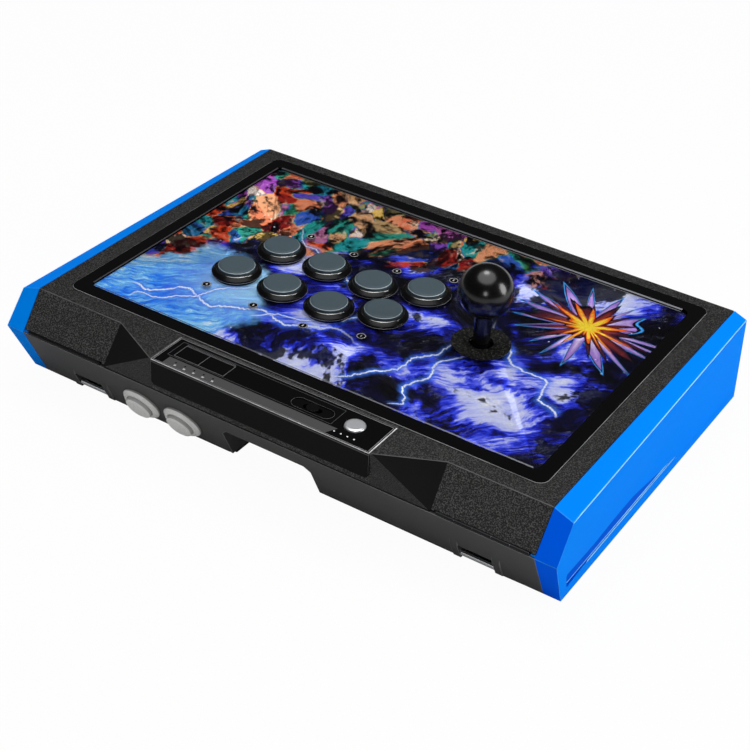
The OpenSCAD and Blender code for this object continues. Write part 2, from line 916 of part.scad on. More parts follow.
module rear_button_bodies() {
    color(pale) for (x = rear_buttons) rear_frame(x)
        button_body(rear_flange_d, rear_hole_d, rear_cap_d, rear_travel);
}

module rear_button_switches() {
    color(dark) for (x = rear_buttons) rear_frame(x) button_switch(rear_travel);
}

module rear_plunger(i) {
    color(pale) rear_frame(rear_buttons[i]) button_cap(rear_cap_d);
}

// The lid's solid outline, inset by i
module lid_mass(i, low) {
    top = zt - i;
    bx = block_x - i;
    kx = kink_x - i;
    root = yt - wall - i;
    span_x(i - lid_x, lid_x - i) polygon([
        [yf + i, low], [yf + i, top],
        [slope_y(top) - i / cos(slope_a), top], [slope_y(low) - i / cos(slope_a), low]
    ]);
    span_x(-bx, bx) polygon([
        [root, low], [root, top], [block_y(top) - i, top], [block_y(low) - i, low]
    ]);
    crest = slope_y(top) - i / cos(slope_a);
    heel = slope_y(low) - i / cos(slope_a);
    both_sides() polyhedron(
        points = [
            [bx - over, root, top], [bx - over, block_y(top) - i, top], [bx, block_y(top) - i, top],
            [kx, crest, top], [kx, root, top],
            [bx - over, root, low], [bx - over, block_y(low) - i, low], [bx, block_y(low) - i, low],
            [kx + over, heel, low], [kx + over, root, low]
        ],
        faces = [
            [0, 1, 2, 3, 4], [9, 8, 7, 6, 5], [1, 0, 5, 6], [2, 1, 6, 7],
            [2, 7, 8], [2, 8, 3], [3, 8, 9, 4], [0, 4, 9, 5]
        ]
    );
}

edge_in = cover_x - recess_edge;
edge_y = [recess_edge - cover_front, cover_rear - recess_edge];
panel_screw_p = concat(
    [for (x = [-edge_in, edge_in], y = concat(edge_y, [-recess_edge])) [x, y]],
    [for (x = [-mid_screw_x, mid_screw_x], y = edge_y) [x, y]]
);

// The round cuts that every sheet of the play surface shares
module play_holes(r) {
    for (p = buttons) translate(p) circle(button_hole_d / 2);
    translate(lever_p) circle(r);
}

module surface_sheet(t) {
    linear_extrude(t) difference() {
        plate_shape(-cover_x, cover_x, -cover_front, cover_rear, cover_corner);
        play_holes(lever_hole_r);
    }
}

module top_shell() {
    tub_x = recess_x + rim_t;
    open_x = recess_x - ledge_w;
    color(black)
    difference() {
        union() {
            difference() {
                lid_mass(0, z_edge);
                lid_mass(wall, z_edge - over);
            }
            box(
                [-tub_x, -recess_front - rim_t, z_under - ledge_t],
                [tub_x, recess_rear + rim_t, zt - wall / 2]
            );
            for (p = panel_screw_p) translate([p[0], p[1], z_under - ledge_t - boss_h])
                cylinder(h = boss_h + ledge_t / 2, r = boss_r);
            for (x = [-post_x, post_x], y = [hole_front + post_in, hole_rear - post_in])
                translate([x, y, z_board]) cylinder(h = post_h + wall / 2, r = post_r);
        }
        translate([0, 0, z_under]) linear_extrude(case_h)
            plate_shape(-recess_x, recess_x, -recess_front, recess_rear, cover_corner + slip);
        box(
            [-open_x, ledge_w - recess_front, z_under - ledge_t - boss_h - over],
            [open_x, recess_rear - ledge_w, z_under + over]
        );
        for (p = panel_screw_p) translate([p[0], p[1], z_under - ledge_t - boss_h - over])
            cylinder(h = boss_h + ledge_t + 2 * over, r = hole_r);
        box([-strip_x - snug, strip_front - snug, z_strip], [strip_x + snug, yr + over, zt + over]);
        box([-strip_x - snug, strip_leg, zt - strip_drop - snug], [strip_x + snug, yr + over, zt + over]);
        box([-hole_x, hole_front, zt - wall - over], [hole_x, hole_rear, zt]);
        box([-lid_x - over, yw - gap_cut, z_edge - over], [lid_x + over, yr + over, z_block]);
        both_sides() {
            box([kink_x + over, yw - gap_cut, z_edge - over], [lid_x + over, yr + over, z_hinge_edge]);
            translate([hinge_start - over, hinge_y, hinge_z]) rotate([0, 90, 0])
                cylinder(h = hinge_len + 2 * over, r = barrel_r + barrel_clear);
        }
        box(
            [-latch_x - slip, yf - over, z_latch - latch_h / 2 - slip],
            [latch_x + slip, yf + wall + over / 2, z_latch + latch_h / 2 + slip]
        );
    }
}

module control_panel() {
    color(steel)
    difference() {
        translate([0, 0, z_under]) surface_sheet(plate_t);
        for (p = panel_screw_p) translate([p[0], p[1], z_plate])
            flat_hole(plate_t + over, screw_r + snug, head_r + snug);
        for (x = [-lever_screw_x, lever_screw_x], y = [-lever_screw_y, lever_screw_y])
            translate([lever_p[0] + x, lever_p[1] + y, z_plate])
                flat_hole(plate_t + over, bolt_r + run_gap, bolt_head_r + run_gap);
    }
}

module panel_screws() {
    color(steel) for (p = panel_screw_p) translate([p[0], p[1], z_plate])
        flat_screw(plate_t + ledge_t + boss_h, screw_r, head_r);
}

module art_sheet() {
    color("royalblue") translate([0, 0, z_plate]) surface_sheet(art_t);
}

module clear_cover() {
    color(clear, 0.4) translate([0, 0, z_art]) surface_sheet(cover_t);
}

// The stadium outline of the lock slider's pan and slot
module lock_shape(half, r) {
    translate([-half + r, -r]) square([2 * (half - r), 2 * r]);
    for (x = [r - half, half - r]) translate([x, 0]) circle(r);
}

lamps = concat(
    [for (i = [0:lamps_left - 1]) lamp_left_x + i * lamp_pitch],
    [for (i = [0:lamps_right - 1]) -lamp_right_x - i * lamp_pitch_right]
);

module strip_cover() {
    low = zt - strip_drop;
    color(dark)
    difference() {
        union() {
            box([-strip_x, strip_front, z_strip], [strip_x, yr, zt]);
            span_y(strip_leg, yr) {
                translate([-strip_x, low + strip_corner]) square([2 * strip_x, strip_drop - strip_corner]);
                translate([strip_corner - strip_x, low]) square([2 * (strip_x - strip_corner), strip_drop]);
                for (x = [strip_corner - strip_x, strip_x - strip_corner])
                    translate([x, low + strip_corner]) circle(strip_corner);
            }
        }
        translate([-guide_x, guide_y, z_strip - over])
            cylinder(h = strip_t + 2 * over, r = guide_d / 2 + slip);
        translate([-lock_x, lock_y, zt - lock_pan_t]) linear_extrude(over) lock_shape(lock_pan_x, lock_pan_r);
        translate([-lock_x, lock_y, z_strip - over]) linear_extrude(strip_t + over)
            lock_shape(lock_travel + lock_neck_y + lock_neck_x, lock_neck_y + slip);
        for (x = lamps) translate([x, lamp_y, z_strip - over])
            cylinder(h = strip_t + 2 * over, r = lamp_r + run_gap);
    }
}

module strip_board() {
    color(green) {
        box([-board_x, board_front, z_board - board_t], [board_x, board_rear, z_board]);
        translate([-guide_x, guide_y, z_board - board_t])
            box([-tact_w / 2, -tact_w / 2, 0], [tact_w / 2, tact_w / 2, board_t + tact_h]);
        translate([-lock_x, lock_y, z_board - board_t])
            box([-lock_switch_x, -lock_switch_y, 0], [lock_switch_x, lock_switch_y, board_t + lock_switch_h]);
    }
}

module indicator_lenses() {
    color("white") for (x = lamps) translate([x, lamp_y, z_board])
        cylinder(h = zt - z_board, r = lamp_r);
}

module guide_button() {
    r = guide_d / 2;
    neck = z_strip - slip;
    foot = z_board + tact_h + guide_travel + snug;
    color("silver") translate([-guide_x, guide_y, 0]) {
        rotate_extrude() polygon([
            [0, neck - guide_flange], [r + guide_flange, neck - guide_flange], [r + guide_flange, neck],
            [r, neck], [r, zt + guide_proud / 2], [r - guide_dome, zt + guide_proud], [0, zt + guide_proud]
        ]);
        translate([0, 0, foot]) cylinder(h = neck - guide_flange - foot + snug, r = stem_r);
    }
}

module lock_slider() {
    shoe = z_strip - slip;
    color(dark) translate([-lock_x, lock_y, 0]) {
        translate([0, 0, zt - lock_pan_t + snug]) cylinder(h = lock_pan_t - snug + lock_proud, r = lock_r);
        box([-lock_neck_x, -lock_neck_y, shoe - over / 2], [lock_neck_x, lock_neck_y, zt]);
        box([-lock_shoe, -lock_shoe, shoe - lock_shoe_t], [lock_shoe, lock_shoe, shoe]);
        translate([0, 0, z_board + lock_switch_h + slip])
            cylinder(h = shoe - lock_shoe_t / 2 - z_board - lock_switch_h - slip, r = lock_fork);
    }
}

module release_button() {
    face = yf + wall + slip;
    arm = yf + wall + keeper_t + arm_gap;
    toe = zw - keeper_drop - keeper_h - toe_gap;
    reach = yf + wall + keeper_t - latch_travel + latch_clear;
    high = z_latch + latch_h / 2 + latch_flange;
    color(dark) {
        box([-latch_x, yf, z_latch - latch_h / 2], [latch_x, face, z_latch + latch_h / 2]);
        box(
            [-latch_x - latch_flange, face, z_latch - latch_h / 2 - latch_flange],
            [latch_x + latch_flange, face + latch_plate_t, high]
        );
        box([-arm_x, face, z_latch], [arm_x, arm + arm_t, high]);
        box([-arm_x, arm, toe - toe_h], [arm_x, arm + arm_t, high]);
        box([-arm_x, reach, toe - toe_h], [arm_x, arm, toe]);
    }
}

// Puts a drawing on the lever's axis
module at_lever() translate([lever_p[0], lever_p[1], 0]) children();

module lever_plate() {
    color(steel) at_lever() translate([0, 0, z_house]) linear_extrude(lever_plate_t) difference() {
        plate_shape(-lever_plate_x, lever_plate_x, -lever_plate_y, lever_plate_y, rim_t);
        circle(lever_hole_r);
        for (x = [-lever_screw_x, lever_screw_x], y = [-lever_screw_y, lever_screw_y])
            translate([x, y]) circle(bolt_r + run_gap);
    }
}

// The bolts of the lever's plate, each with its nut
module lever_screws() {
    color(steel) at_lever()
        for (x = [-lever_screw_x, lever_screw_x], y = [-lever_screw_y, lever_screw_y]) translate([x, y, 0]) {
            translate([0, 0, z_plate]) flat_screw(bolt_h, bolt_r, bolt_head_r);
            translate([0, 0, z_house - nut_t]) difference() {
                cylinder(h = nut_t, r = nut_r, $fn = 6);
                translate([0, 0, -over]) cylinder(h = nut_t + 2 * over, r = bolt_r + run_gap);
            }
        }
}

module lever_housing() {
    hollow = house_x - house_wall;
    z_seat = z_house - seat_depth;
    color(dark) at_lever()
    difference() {
        box([-house_x, -house_x, z_lever_board], [house_x, house_x, z_house]);
        box([-hollow, -hollow, z_lever_board - over], [hollow, hollow, z_seat]);
        translate([0, 0, z_pivot]) sphere(pivot_r + slip);
        translate([0, 0, z_seat - over]) cylinder(h = z_pivot - seat_open_h - z_seat + over, r = seat_open_r);
        translate([0, 0, z_pivot + throat_h]) cylinder(h = z_house - z_pivot, r = throat_r);
    }
}

module lever_board() {
    color(green) at_lever() translate([0, 0, z_lever_board - board_t]) linear_extrude(board_t) difference() {
        square(2 * house_x, center = true);
        circle(board_hole_r);
    }
}

module lever_switches() {
    color(dark) at_lever() for (a = [0:90:270]) rotate(a) {
        box(
            [switch_in, -switch_l / 2, z_lever_board],
            [switch_in + switch_h, switch_l / 2, z_lever_board + switch_w]
        );
        translate([switch_in - lever_nub, 0, z_lever_board + lever_nub_h]) rotate([0, 90, 0])
            cylinder(h = lever_nub + over, r = nub_r);
    }
}

// The square gate, in which the leaning actuator's neck comes to rest
module lever_gate() {
    half = neck_r + (z_pivot - z_gate) * tan(lever_tilt) + slip;
    color(pale) at_lever() translate([0, 0, z_gate]) linear_extrude(gate_t) difference() {
        square(2 * house_x, center = true);
        square(2 * half, center = true);
    }
}

module lever_shaft() {
    low = z_clip - clip_t - shaft_end_h;
    color(steel) at_lever()
    difference() {
        translate([0, 0, low]) cylinder(h = z_ball + snug - low, r = shaft_r);
        translate([0, 0, z_clip - clip_t]) difference() {
            cylinder(h = clip_t, r = shaft_r + over);
            translate([0, 0, -over]) cylinder(h = clip_t + 2 * over, r = shaft_r - groove_in);
        }
    }
}

module shaft_cover() {
    low = z_pivot + pivot_r + slip;
    high = z_ball - ball_d / 2 - sleeve_gap / 2;
    color(dark) at_lever() translate([0, 0, low]) difference() {
        cylinder(h = high - low, r = sleeve_r);
        translate([0, 0, -over]) cylinder(h = high - low + 2 * over, r = shaft_r + snug);
    }
}

module lever_pivot() {
    color("white") at_lever() translate([0, 0, z_pivot])
    difference() {
        union() {
            sphere(pivot_r);
            translate([0, 0, -collar_drop]) cylinder(h = collar_h, r = collar_r);
            translate([0, 0, -collar_drop]) cylinder(h = collar_drop, r = neck_r);
        }
        translate([0, 0, -case_h / 2]) cylinder(h = case_h, r = shaft_r + snug);
    }
}

// One wire wound round the shaft, from the actuator up to the pivot's collar
module lever_spring() {
    low = z_hub + 2 * snug + spring_wire;
    rise = z_pivot - collar_drop - 2 * snug - spring_wire - low;
    rings = spring_turns * spring_steps;
    points = [
        for (i = [0:rings], k = [0:spring_sides - 1])
            let (
                a = i * 360 / spring_steps,
                b = k * 360 / spring_sides,
                r = spring_r + spring_wire * cos(b)
            )
            [r * cos(a), r * sin(a), low + rise * i / rings + spring_wire * sin(b)]
    ];
    sides = [
        for (i = [0:rings - 1], k = [0:spring_sides - 1])
            let (
                p = i * spring_sides + k,
                q = i * spring_sides + (k + 1) % spring_sides
            )
            each [[p, p + spring_sides, q], [q, p + spring_sides, q + spring_sides]]
    ];
    ends = [
        [for (k = [0:spring_sides - 1]) k],
        [for (k = [spring_sides - 1:-1:0]) rings * spring_sides + k]
    ];
    echo(least_gap_of_the_spring = rise / spring_turns - 2 * spring_wire);
    color("silver") at_lever() polyhedron(points = points, faces = concat(sides, ends));
}

module lever_actuator() {
    color(dark) at_lever()
    difference() {
        union() {
            translate([0, 0, z_hub - hub_h]) cylinder(h = hub_h, r = hub_r);
            translate([0, 0, z_clip]) cylinder(h = neck_h + over, r = neck_r);
        }
        translate([0, 0, z_clip - over]) cylinder(h = case_h, r = shaft_r + snug);
    }
}

module lever_clip() {
    color(steel) at_lever() translate([0, 0, z_clip - clip_t + run_gap]) difference() {
        cylinder(h = clip_t - 2 * run_gap, r = clip_r);
        translate([0, 0, -over]) cylinder(h = clip_t + 2 * over, r = shaft_r - groove_in + run_gap);
        box([-clip_r - over, -shaft_r + groove_in, -over], [0, shaft_r - groove_in, clip_t + over]);
    }
}

module ball_top() {
    r = ball_d / 2;
    color(dark) at_lever() translate([0, 0, z_ball])
    difference() {
        sphere(r, $fn = 96);
        translate([0, 0, -r]) cylinder(h = r + 2 * snug, r = shaft_r + snug);
        box([-r, -r, -r - over], [r, r, ball_flat - r]);
    }
}

module dust_washer() {
    color(dark) at_lever() translate([0, 0, z_cover + washer_lift]) difference() {
        cylinder(h = washer_t, r = washer_r);
        translate([0, 0, -over]) cylinder(h = washer_t + 2 * over, r = sleeve_r + washer_slack);
    }
}

module body_and_flange(i) {
    color(dark) translate([buttons[i][0], buttons[i][1], z_cover])
        button_body(button_flange_d, button_hole_d, button_cap_d, button_travel);
}

module button_switches() {
    color(dark) for (p = buttons) translate([p[0], p[1], z_cover]) button_switch(button_travel);
}

module plunger(i) {
    color(grey) translate([buttons[i][0], buttons[i][1], z_cover]) button_cap(button_cap_d);
}

// The harness under the lid: a trunk between the two rows, a drop to each
// switch, a branch to the lever's board and a lead up to the strip's board
module wiring_loom() {
    tab_z = z_cover - switch_top(button_travel) - switch_h - tab_h;
    z = tab_z - loom_drop;
    y = lever_y - loom_front;
    left = lever_p[0] + house_x - loom_r;
    right = buttons[3][0];
    lead = [-notch_x - wall - 2 * loom_r, y, z];
    up = [lead[0], board_front + rim_t, z];
    color("firebrick") {
        bar([left, y, z], [right, y, z], loom_r);
        for (p = buttons) {
            foot = [p[0], y, z];
            turn = [p[0], p[1], z];
            bar(foot, turn, wire_r);
            translate(turn) sphere(wire_r, $fn = 24);
            bar(turn, [p[0], p[1], tab_z - run_gap], wire_r);
        }
        bar([left, y, z], [left, y, z_gate - run_gap], loom_r);
        bar(lead, up, loom_r);
        translate([left, y, z]) sphere(loom_r, $fn = 24);
        translate(up) sphere(loom_r, $fn = 24);
        bar(up, [up[0], up[1], z_board - board_t - run_gap], loom_r);
    }
}

bottom_shell();
foot_pad();
base_plate();
tray_screws();
mirror([1, 0, 0]) side_panel();  // left_side_panel
side_panel();  // right_side_panel
side_panel_screws();
strap_bars();
hinge_base_leaves();
hinge_pins();
hinge_lid_leaves();
main_board();
cable_socket();
rear_button_bodies();
rear_button_switches();
rear_plunger(0);  // rear_plunger_1
rear_plunger(1);  // rear_plunger_2
top_shell();
control_panel();
panel_screws();
art_sheet();
clear_cover();
strip_cover();
strip_board();
indicator_lenses();
guide_button();
lock_slider();
release_button();
lever_plate();
lever_screws();
lever_housing();
lever_board();
lever_switches();
lever_gate();
lever_shaft();
shaft_cover();
lever_pivot();
lever_spring();
lever_actuator();
lever_clip();
ball_top();
dust_washer();
button_switches();
wiring_loom();
body_and_flange(0);  // button_body_1
body_and_flange(1);  // button_body_2
body_and_flange(2);  // button_body_3
body_and_flange(3);  // button_body_4
body_and_flange(4);  // button_body_5
body_and_flange(5);  // button_body_6
body_and_flange(6);  // button_body_7
body_and_flange(7);  // button_body_8
plunger(0);  // plunger_1
plunger(1);  // plunger_2
plunger(2);  // plunger_3
plunger(3);  // plunger_4
plunger(4);  // plunger_5
plunger(5);  // plunger_6
plunger(6);  // plunger_7
plunger(7);  // plunger_8
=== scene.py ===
"""An arcade fight stick: its finishes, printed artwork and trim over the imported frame.

+X is the player's right, -Y the player's side and +Z up. Lengths are in metres.
"""
import json
import math

import bmesh
import bpy
from mathutils import Matrix, Vector

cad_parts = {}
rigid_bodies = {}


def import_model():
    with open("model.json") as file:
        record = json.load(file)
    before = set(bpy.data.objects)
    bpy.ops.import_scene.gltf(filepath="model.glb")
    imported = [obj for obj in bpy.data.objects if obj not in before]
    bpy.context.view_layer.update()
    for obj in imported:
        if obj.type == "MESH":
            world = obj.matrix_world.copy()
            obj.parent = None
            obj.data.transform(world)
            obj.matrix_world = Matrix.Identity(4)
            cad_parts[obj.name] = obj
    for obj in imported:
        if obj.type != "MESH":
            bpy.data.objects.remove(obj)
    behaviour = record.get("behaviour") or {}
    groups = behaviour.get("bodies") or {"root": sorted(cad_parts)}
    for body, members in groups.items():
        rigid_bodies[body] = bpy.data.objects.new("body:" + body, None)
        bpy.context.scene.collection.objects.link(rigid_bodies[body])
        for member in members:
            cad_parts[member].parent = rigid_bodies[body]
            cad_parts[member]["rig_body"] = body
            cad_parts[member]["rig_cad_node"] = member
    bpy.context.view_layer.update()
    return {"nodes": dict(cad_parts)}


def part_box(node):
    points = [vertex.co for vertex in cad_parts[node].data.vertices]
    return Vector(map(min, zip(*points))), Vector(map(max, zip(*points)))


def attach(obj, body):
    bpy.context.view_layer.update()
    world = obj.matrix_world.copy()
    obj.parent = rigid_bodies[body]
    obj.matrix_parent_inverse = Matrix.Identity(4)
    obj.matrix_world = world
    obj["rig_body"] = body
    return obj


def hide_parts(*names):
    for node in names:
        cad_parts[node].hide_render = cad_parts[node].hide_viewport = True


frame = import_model()
MM = 0.001


# Nodes and wires of a finish

def tone(*levels):
    """A screen's red, green and blue, from 0 to 255, made a linear colour."""
    return (*(((c / 255 + 0.055) / 1.055) ** 2.4 if c > 10 else c / 3295 for c in levels), 1.0)


WHITE = (1.0, 1.0, 1.0, 1.0)


class Wire:
    """An output socket, which adds and multiplies as a number does."""

    def __init__(self, nodes, socket):
        self.nodes = nodes
        self.socket = socket

    def maths(self, operation, *values):
        return self.nodes.node("ShaderNodeMath", {"operation": operation}, dict(enumerate(values)))

    def __add__(self, other):
        return self.maths("ADD", self, other)

    def __sub__(self, other):
        return self.maths("SUBTRACT", self, other)

    def __rsub__(self, other):
        return self.maths("SUBTRACT", other, self)

    def __mul__(self, other):
        return self.maths("MULTIPLY", self, other)

    def __truediv__(self, other):
        return self.maths("DIVIDE", self, other)

    def __pow__(self, other):
        return self.maths("POWER", self, other)

    def __lt__(self, other):
        return self.maths("LESS_THAN", self, other)

    def __gt__(self, other):
        return self.maths("GREATER_THAN", self, other)

    def __abs__(self):
        return self.maths("ABSOLUTE", self)

    __radd__ = __add__
    __rmul__ = __mul__

    def most(self, other):
        return self.maths("MAXIMUM", self, other)

    def rise(self, low, high):
        """0 below low and 1 above high, smooth between them."""
        return self.nodes.node(
            "ShaderNodeMapRange", {"interpolation_type": "SMOOTHSTEP"},
            {"Value": self, "From Min": low, "From Max": high},
        )

    def ramp(self, *stops):
        return self.nodes.node("ShaderNodeValToRGB", {"stops": stops}, {"Fac": self})


class Nodes:
    """The nodes of a material or a world, from an empty start."""

    def __init__(self, owner):
        owner.use_nodes = True
        self.tree = owner.node_tree
        self.tree.nodes.clear()

    def feed(self, socket, value):
        if isinstance(value, Wire):
            self.tree.links.new(value.socket, socket)
        else:
            socket.default_value = value

    def node(self, kind, settings=None, values=None, output=0):
        made = self.tree.nodes.new(kind)
        for name, value in (settings or {}).items():
            if name == "stops":
                elements = made.color_ramp.elements
                while len(elements) < len(value):
                    elements.new(1.0)
                for element, (position, colour) in zip(elements, value):
                    element.position = position
                    element.color = colour
            else:
                setattr(made, name, value)
        for name, value in (values or {}).items():
            self.feed(made.inputs[name], value)
        return Wire(self, made.outputs[output])

    def ray(self, kind):
        return self.node("ShaderNodeLightPath", output=kind)

    def point(self):
        return self.node("ShaderNodeTexCoord", output="Object")

    def split(self, point):
        """The X, Y and Z of a point, in millimetres."""
        made = self.node("ShaderNodeSeparateXYZ", values={0: point})
        return [Wire(self, out) / MM for out in made.socket.node.outputs]

    def joined(self, x, y, z=0.0):
        return self.node("ShaderNodeCombineXYZ", values={0: x, 1: y, 2: z})

    def noise(self, scale, detail=2.0, roughness=0.5, point=None, output=0):
        place = point or self.point()
        return self.node(
            "ShaderNodeTexNoise", None,
            {"Vector": place, "Scale": scale, "Detail": detail, "Roughness": roughness}, output,
        )

    def cells(self, scale, feature="F1"):
        return self.node(
            "ShaderNodeTexVoronoi", {"feature": feature}, {"Vector": self.point(), "Scale": scale}
        )

    def vector(self, operation, values):
        return self.node("ShaderNodeVectorMath", {"operation": operation}, values)

    def shifted(self, point, by, amount):
        """A point moved by a colour's distance from grey."""
        centred = self.vector("SUBTRACT", {0: by, 1: (0.5, 0.5, 0.5)})
        scaled = self.vector("SCALE", {0: centred, "Scale": amount})
        return self.vector("ADD", {0: point, 1: scaled})

    def mix(self, under, over, mask):
        return self.node("ShaderNodeMix", {"data_type": "RGBA"}, {0: mask, 6: under, 7: over}, 2)

    def bump(self, height, depth):
        return self.node("ShaderNodeBump", None, {"Height": height, "Distance": depth})


class Finish(Nodes):
    """A material, with its one shader and what feeds it."""

    def __init__(self, name, **sockets):
        self.material = bpy.data.materials.new(name)
        super().__init__(self.material)
        self.shader = self.tree.nodes.new("ShaderNodeBsdfPrincipled")
        self.output = self.tree.nodes.new("ShaderNodeOutputMaterial")
        self.tree.links.new(self.shader.outputs[0], self.output.inputs["Surface"])
        self.set(**sockets)

    def set(self, **sockets):
        for name, value in sockets.items():
            self.feed(self.shader.inputs[name.replace("_", " ")], value)


def inside(x, y, reach_x, reach_y):
    """1 between two values of X and two of Y, and 0 elsewhere."""
    return (x > reach_x[0]) * (x < reach_x[1]) * (y > reach_y[0]) * (y < reach_y[1])


def corner_distance(x, y, low, high, radius):
    """How far a place lies outside a rectangle with round corners, and below 0 inside it."""
    reach_x = (abs(x - (low[0] + high[0]) / 2) - ((high[0] - low[0]) / 2 - radius)).most(0.0)
    reach_y = (abs(y - (low[1] + high[1]) / 2) - ((high[1] - low[1]) / 2 - radius)).most(0.0)
    return (reach_x * reach_x + reach_y * reach_y) ** 0.5 - radius


def outline(x, y, low, high, radius, width):
    """A line of a width along a rectangle with round corners."""
    return abs(corner_distance(x, y, low, high, radius)) < width / 2


# Finishes

def deeper(colour, share):
    return (*(c * share for c in colour[:3]), 1.0)


def grained(name, dark, light, scale, low, high, depth, plain=None):
    """Spark-eroded plastic: dark, with fine light specks, and a smooth band if one is given."""
    f = Finish(name, Specular_IOR_Level=0.15)
    grain = f.noise(scale, 1.0, 0.5)
    speck = grain.rise(low, high)
    if plain:
        x, y, _ = f.split(f.point())
        rough = corner_distance(x, y, *plain, 0.0) > 0.0
        speck = speck * rough
        dark = f.mix(tone(12, 12, 12), dark, rough)
    f.set(
        Base_Color=f.mix(dark, light, speck),
        Roughness=0.6 - speck * 0.15,
        Normal=f.bump(grain, depth),
    )
    return f.material


def plain_black(name, colour, roughness, specular=0.2):
    """Moulded plastic with only a faint texture and a slow change of tone."""
    f = Finish(name, Specular_IOR_Level=specular)
    grain = f.noise(1500.0, 2.0, 0.6)
    cloud = f.noise(16.0, 3.0, 0.5)
    f.set(
        Base_Color=f.mix(deeper(colour, 0.86), deeper(colour, 1.25), grain * 0.65 + cloud * 0.35),
        Roughness=roughness + (grain - 0.5) * 0.12,
        Normal=f.bump(grain, 0.03 * MM),
    )
    return f.material


def painted_blue(name, colour, roughness=0.5):
    f = Finish(name, Specular_IOR_Level=0.004)
    cloud = f.noise(9.0, 3.0, 0.5)
    grain = f.noise(1600.0, 1.0, 0.5)
    f.set(
        Base_Color=f.mix(deeper(colour, 0.95), deeper(colour, 1.05), cloud),
        Roughness=roughness + (grain - 0.5) * 0.1,
        Normal=f.bump(grain, 0.015 * MM),
    )
    return f.material


def worn_edge(name, colour, roughness=0.35, specular=0.3, least=0.7):
    """A line painted along an edge: a painted highlight where it is lighter than its face, painted
    shade where darker, patchy along its length.
    """
    f = Finish(name, Specular_IOR_Level=specular)
    patchiness = f.noise(70.0, 3.0, 0.6)
    f.set(
        Base_Color=f.mix(deeper(colour, least), colour, patchiness.rise(0.35, 0.6)),
        Roughness=roughness + patchiness * 0.1,
    )
    return f.material


def gloss_black(name="gloss_black", colour=tone(13, 13, 14), roughness=0.09, specular=0.5, ior=1.5):
    f = Finish(name, Specular_IOR_Level=specular, IOR=ior)
    smear = f.noise(30.0, 3.0, 0.55)
    f.set(
        Base_Color=f.mix(colour, deeper(colour, 1.3), smear),
        Roughness=roughness + smear.rise(0.4, 0.8) * 0.05,
        Normal=f.bump(smear, 0.015 * MM),
    )
    return f.material


def satin_plastic(name, colour, roughness=0.38, specular=0.35):
    f = Finish(name, Specular_IOR_Level=specular)
    grain = f.noise(1300.0, 2.0, 0.5)
    cloud = f.noise(45.0, 2.0, 0.5)
    f.set(
        Base_Color=f.mix(deeper(colour, 0.92), deeper(colour, 1.04), cloud * 0.6 + grain * 0.4),
        Roughness=roughness + (grain - 0.5) * 0.14,
        Normal=f.bump(grain, 0.02 * MM),
    )
    return f.material


def metal(name, colour, roughness=0.25, brushed=(1.0, 1.0, 1.0), contrast=1.0, share=1.0):
    f = Finish(name, Metallic=share)
    stretched = f.vector("MULTIPLY", {0: f.point(), 1: brushed})
    line = f.noise(700.0, 3.0, 0.6, stretched)
    f.set(
        Base_Color=f.mix(deeper(colour, 1.0 - 0.2 * contrast), colour, line),
        Roughness=roughness + (line - 0.5) * 0.15 * contrast,
        Normal=f.bump(line, 0.01 * MM * contrast),
    )
    return f.material


def rubber():
    f = Finish("foot_rubber", Specular_IOR_Level=0.15)
    grain = f.noise(900.0, 3.0, 0.6)
    f.set(
        Base_Color=f.mix(tone(28, 28, 28), tone(46, 46, 45), grain),
        Roughness=0.85 + (grain - 0.5) * 0.1,
        Normal=f.bump(grain, 0.08 * MM),
    )
    return f.material


def circuit_board():
    """Green lacquer over square copper runs, with bright soldered points."""
    f = Finish("circuit_board")
    run = f.cells(220.0, "DISTANCE_TO_EDGE") < 0.06
    pad = f.cells(260.0) < 0.16
    green = f.mix(tone(24, 84, 52), tone(44, 122, 74), run)
    f.set(Base_Color=f.mix(green, tone(196, 190, 160), pad), Roughness=0.35 + pad * 0.1)
    return f.material


# The clear window in the printed border, in millimetres
WINDOW_LOW = (-165.0, -116.4)
WINDOW_HIGH = (166.0, 93.0)
WINDOW_CORNER = 5.0

# Painted highlights at the window's cut edge, as their reach in X and in Y
CUT_EDGES = (
    ((-160.0, 163.0), (-116.4, -114.6)),
    ((-160.0, 160.0), (-112.9, -112.4)),
    ((-162.0, 163.0), (91.6, 92.6)),
    ((164.8, 165.8), (-114.0, 90.0)),
)
COVER_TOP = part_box("clear_cover")[1][2] / MM
PRINT_LIMIT = 0.05


def clear_cover():
    """Clear plastic with a border printed black from behind, and painted highlights at its cut edge
    that dim towards +X.
    """
    f = Finish("clear_cover", Specular_IOR_Level=0.4)
    x, y, z = f.split(f.point())
    border = corner_distance(x, y, WINDOW_LOW, WINDOW_HIGH, WINDOW_CORNER) > 0.0
    cut_edge_highlights = z > COVER_TOP - PRINT_LIMIT
    cut_edge_highlights = cut_edge_highlights * sum(inside(x, y, *edge) for edge in CUT_EDGES)
    smear = f.noise(24.0, 3.0, 0.5)
    ink = f.mix(tone(9, 9, 10), tone(13, 13, 14), smear)
    # The painted highlight dims towards +X
    highlight_falloff = (x / 200.0 + 0.6).most(0.0)
    ink = f.mix(ink, f.mix(tone(150, 152, 158), tone(84, 84, 88), highlight_falloff), cut_edge_highlights)
    f.set(
        Base_Color=ink,
        Roughness=0.06 + smear * 0.05,
        Alpha=border.most(cut_edge_highlights * 0.8).most(0.05),
    )
    return f.material


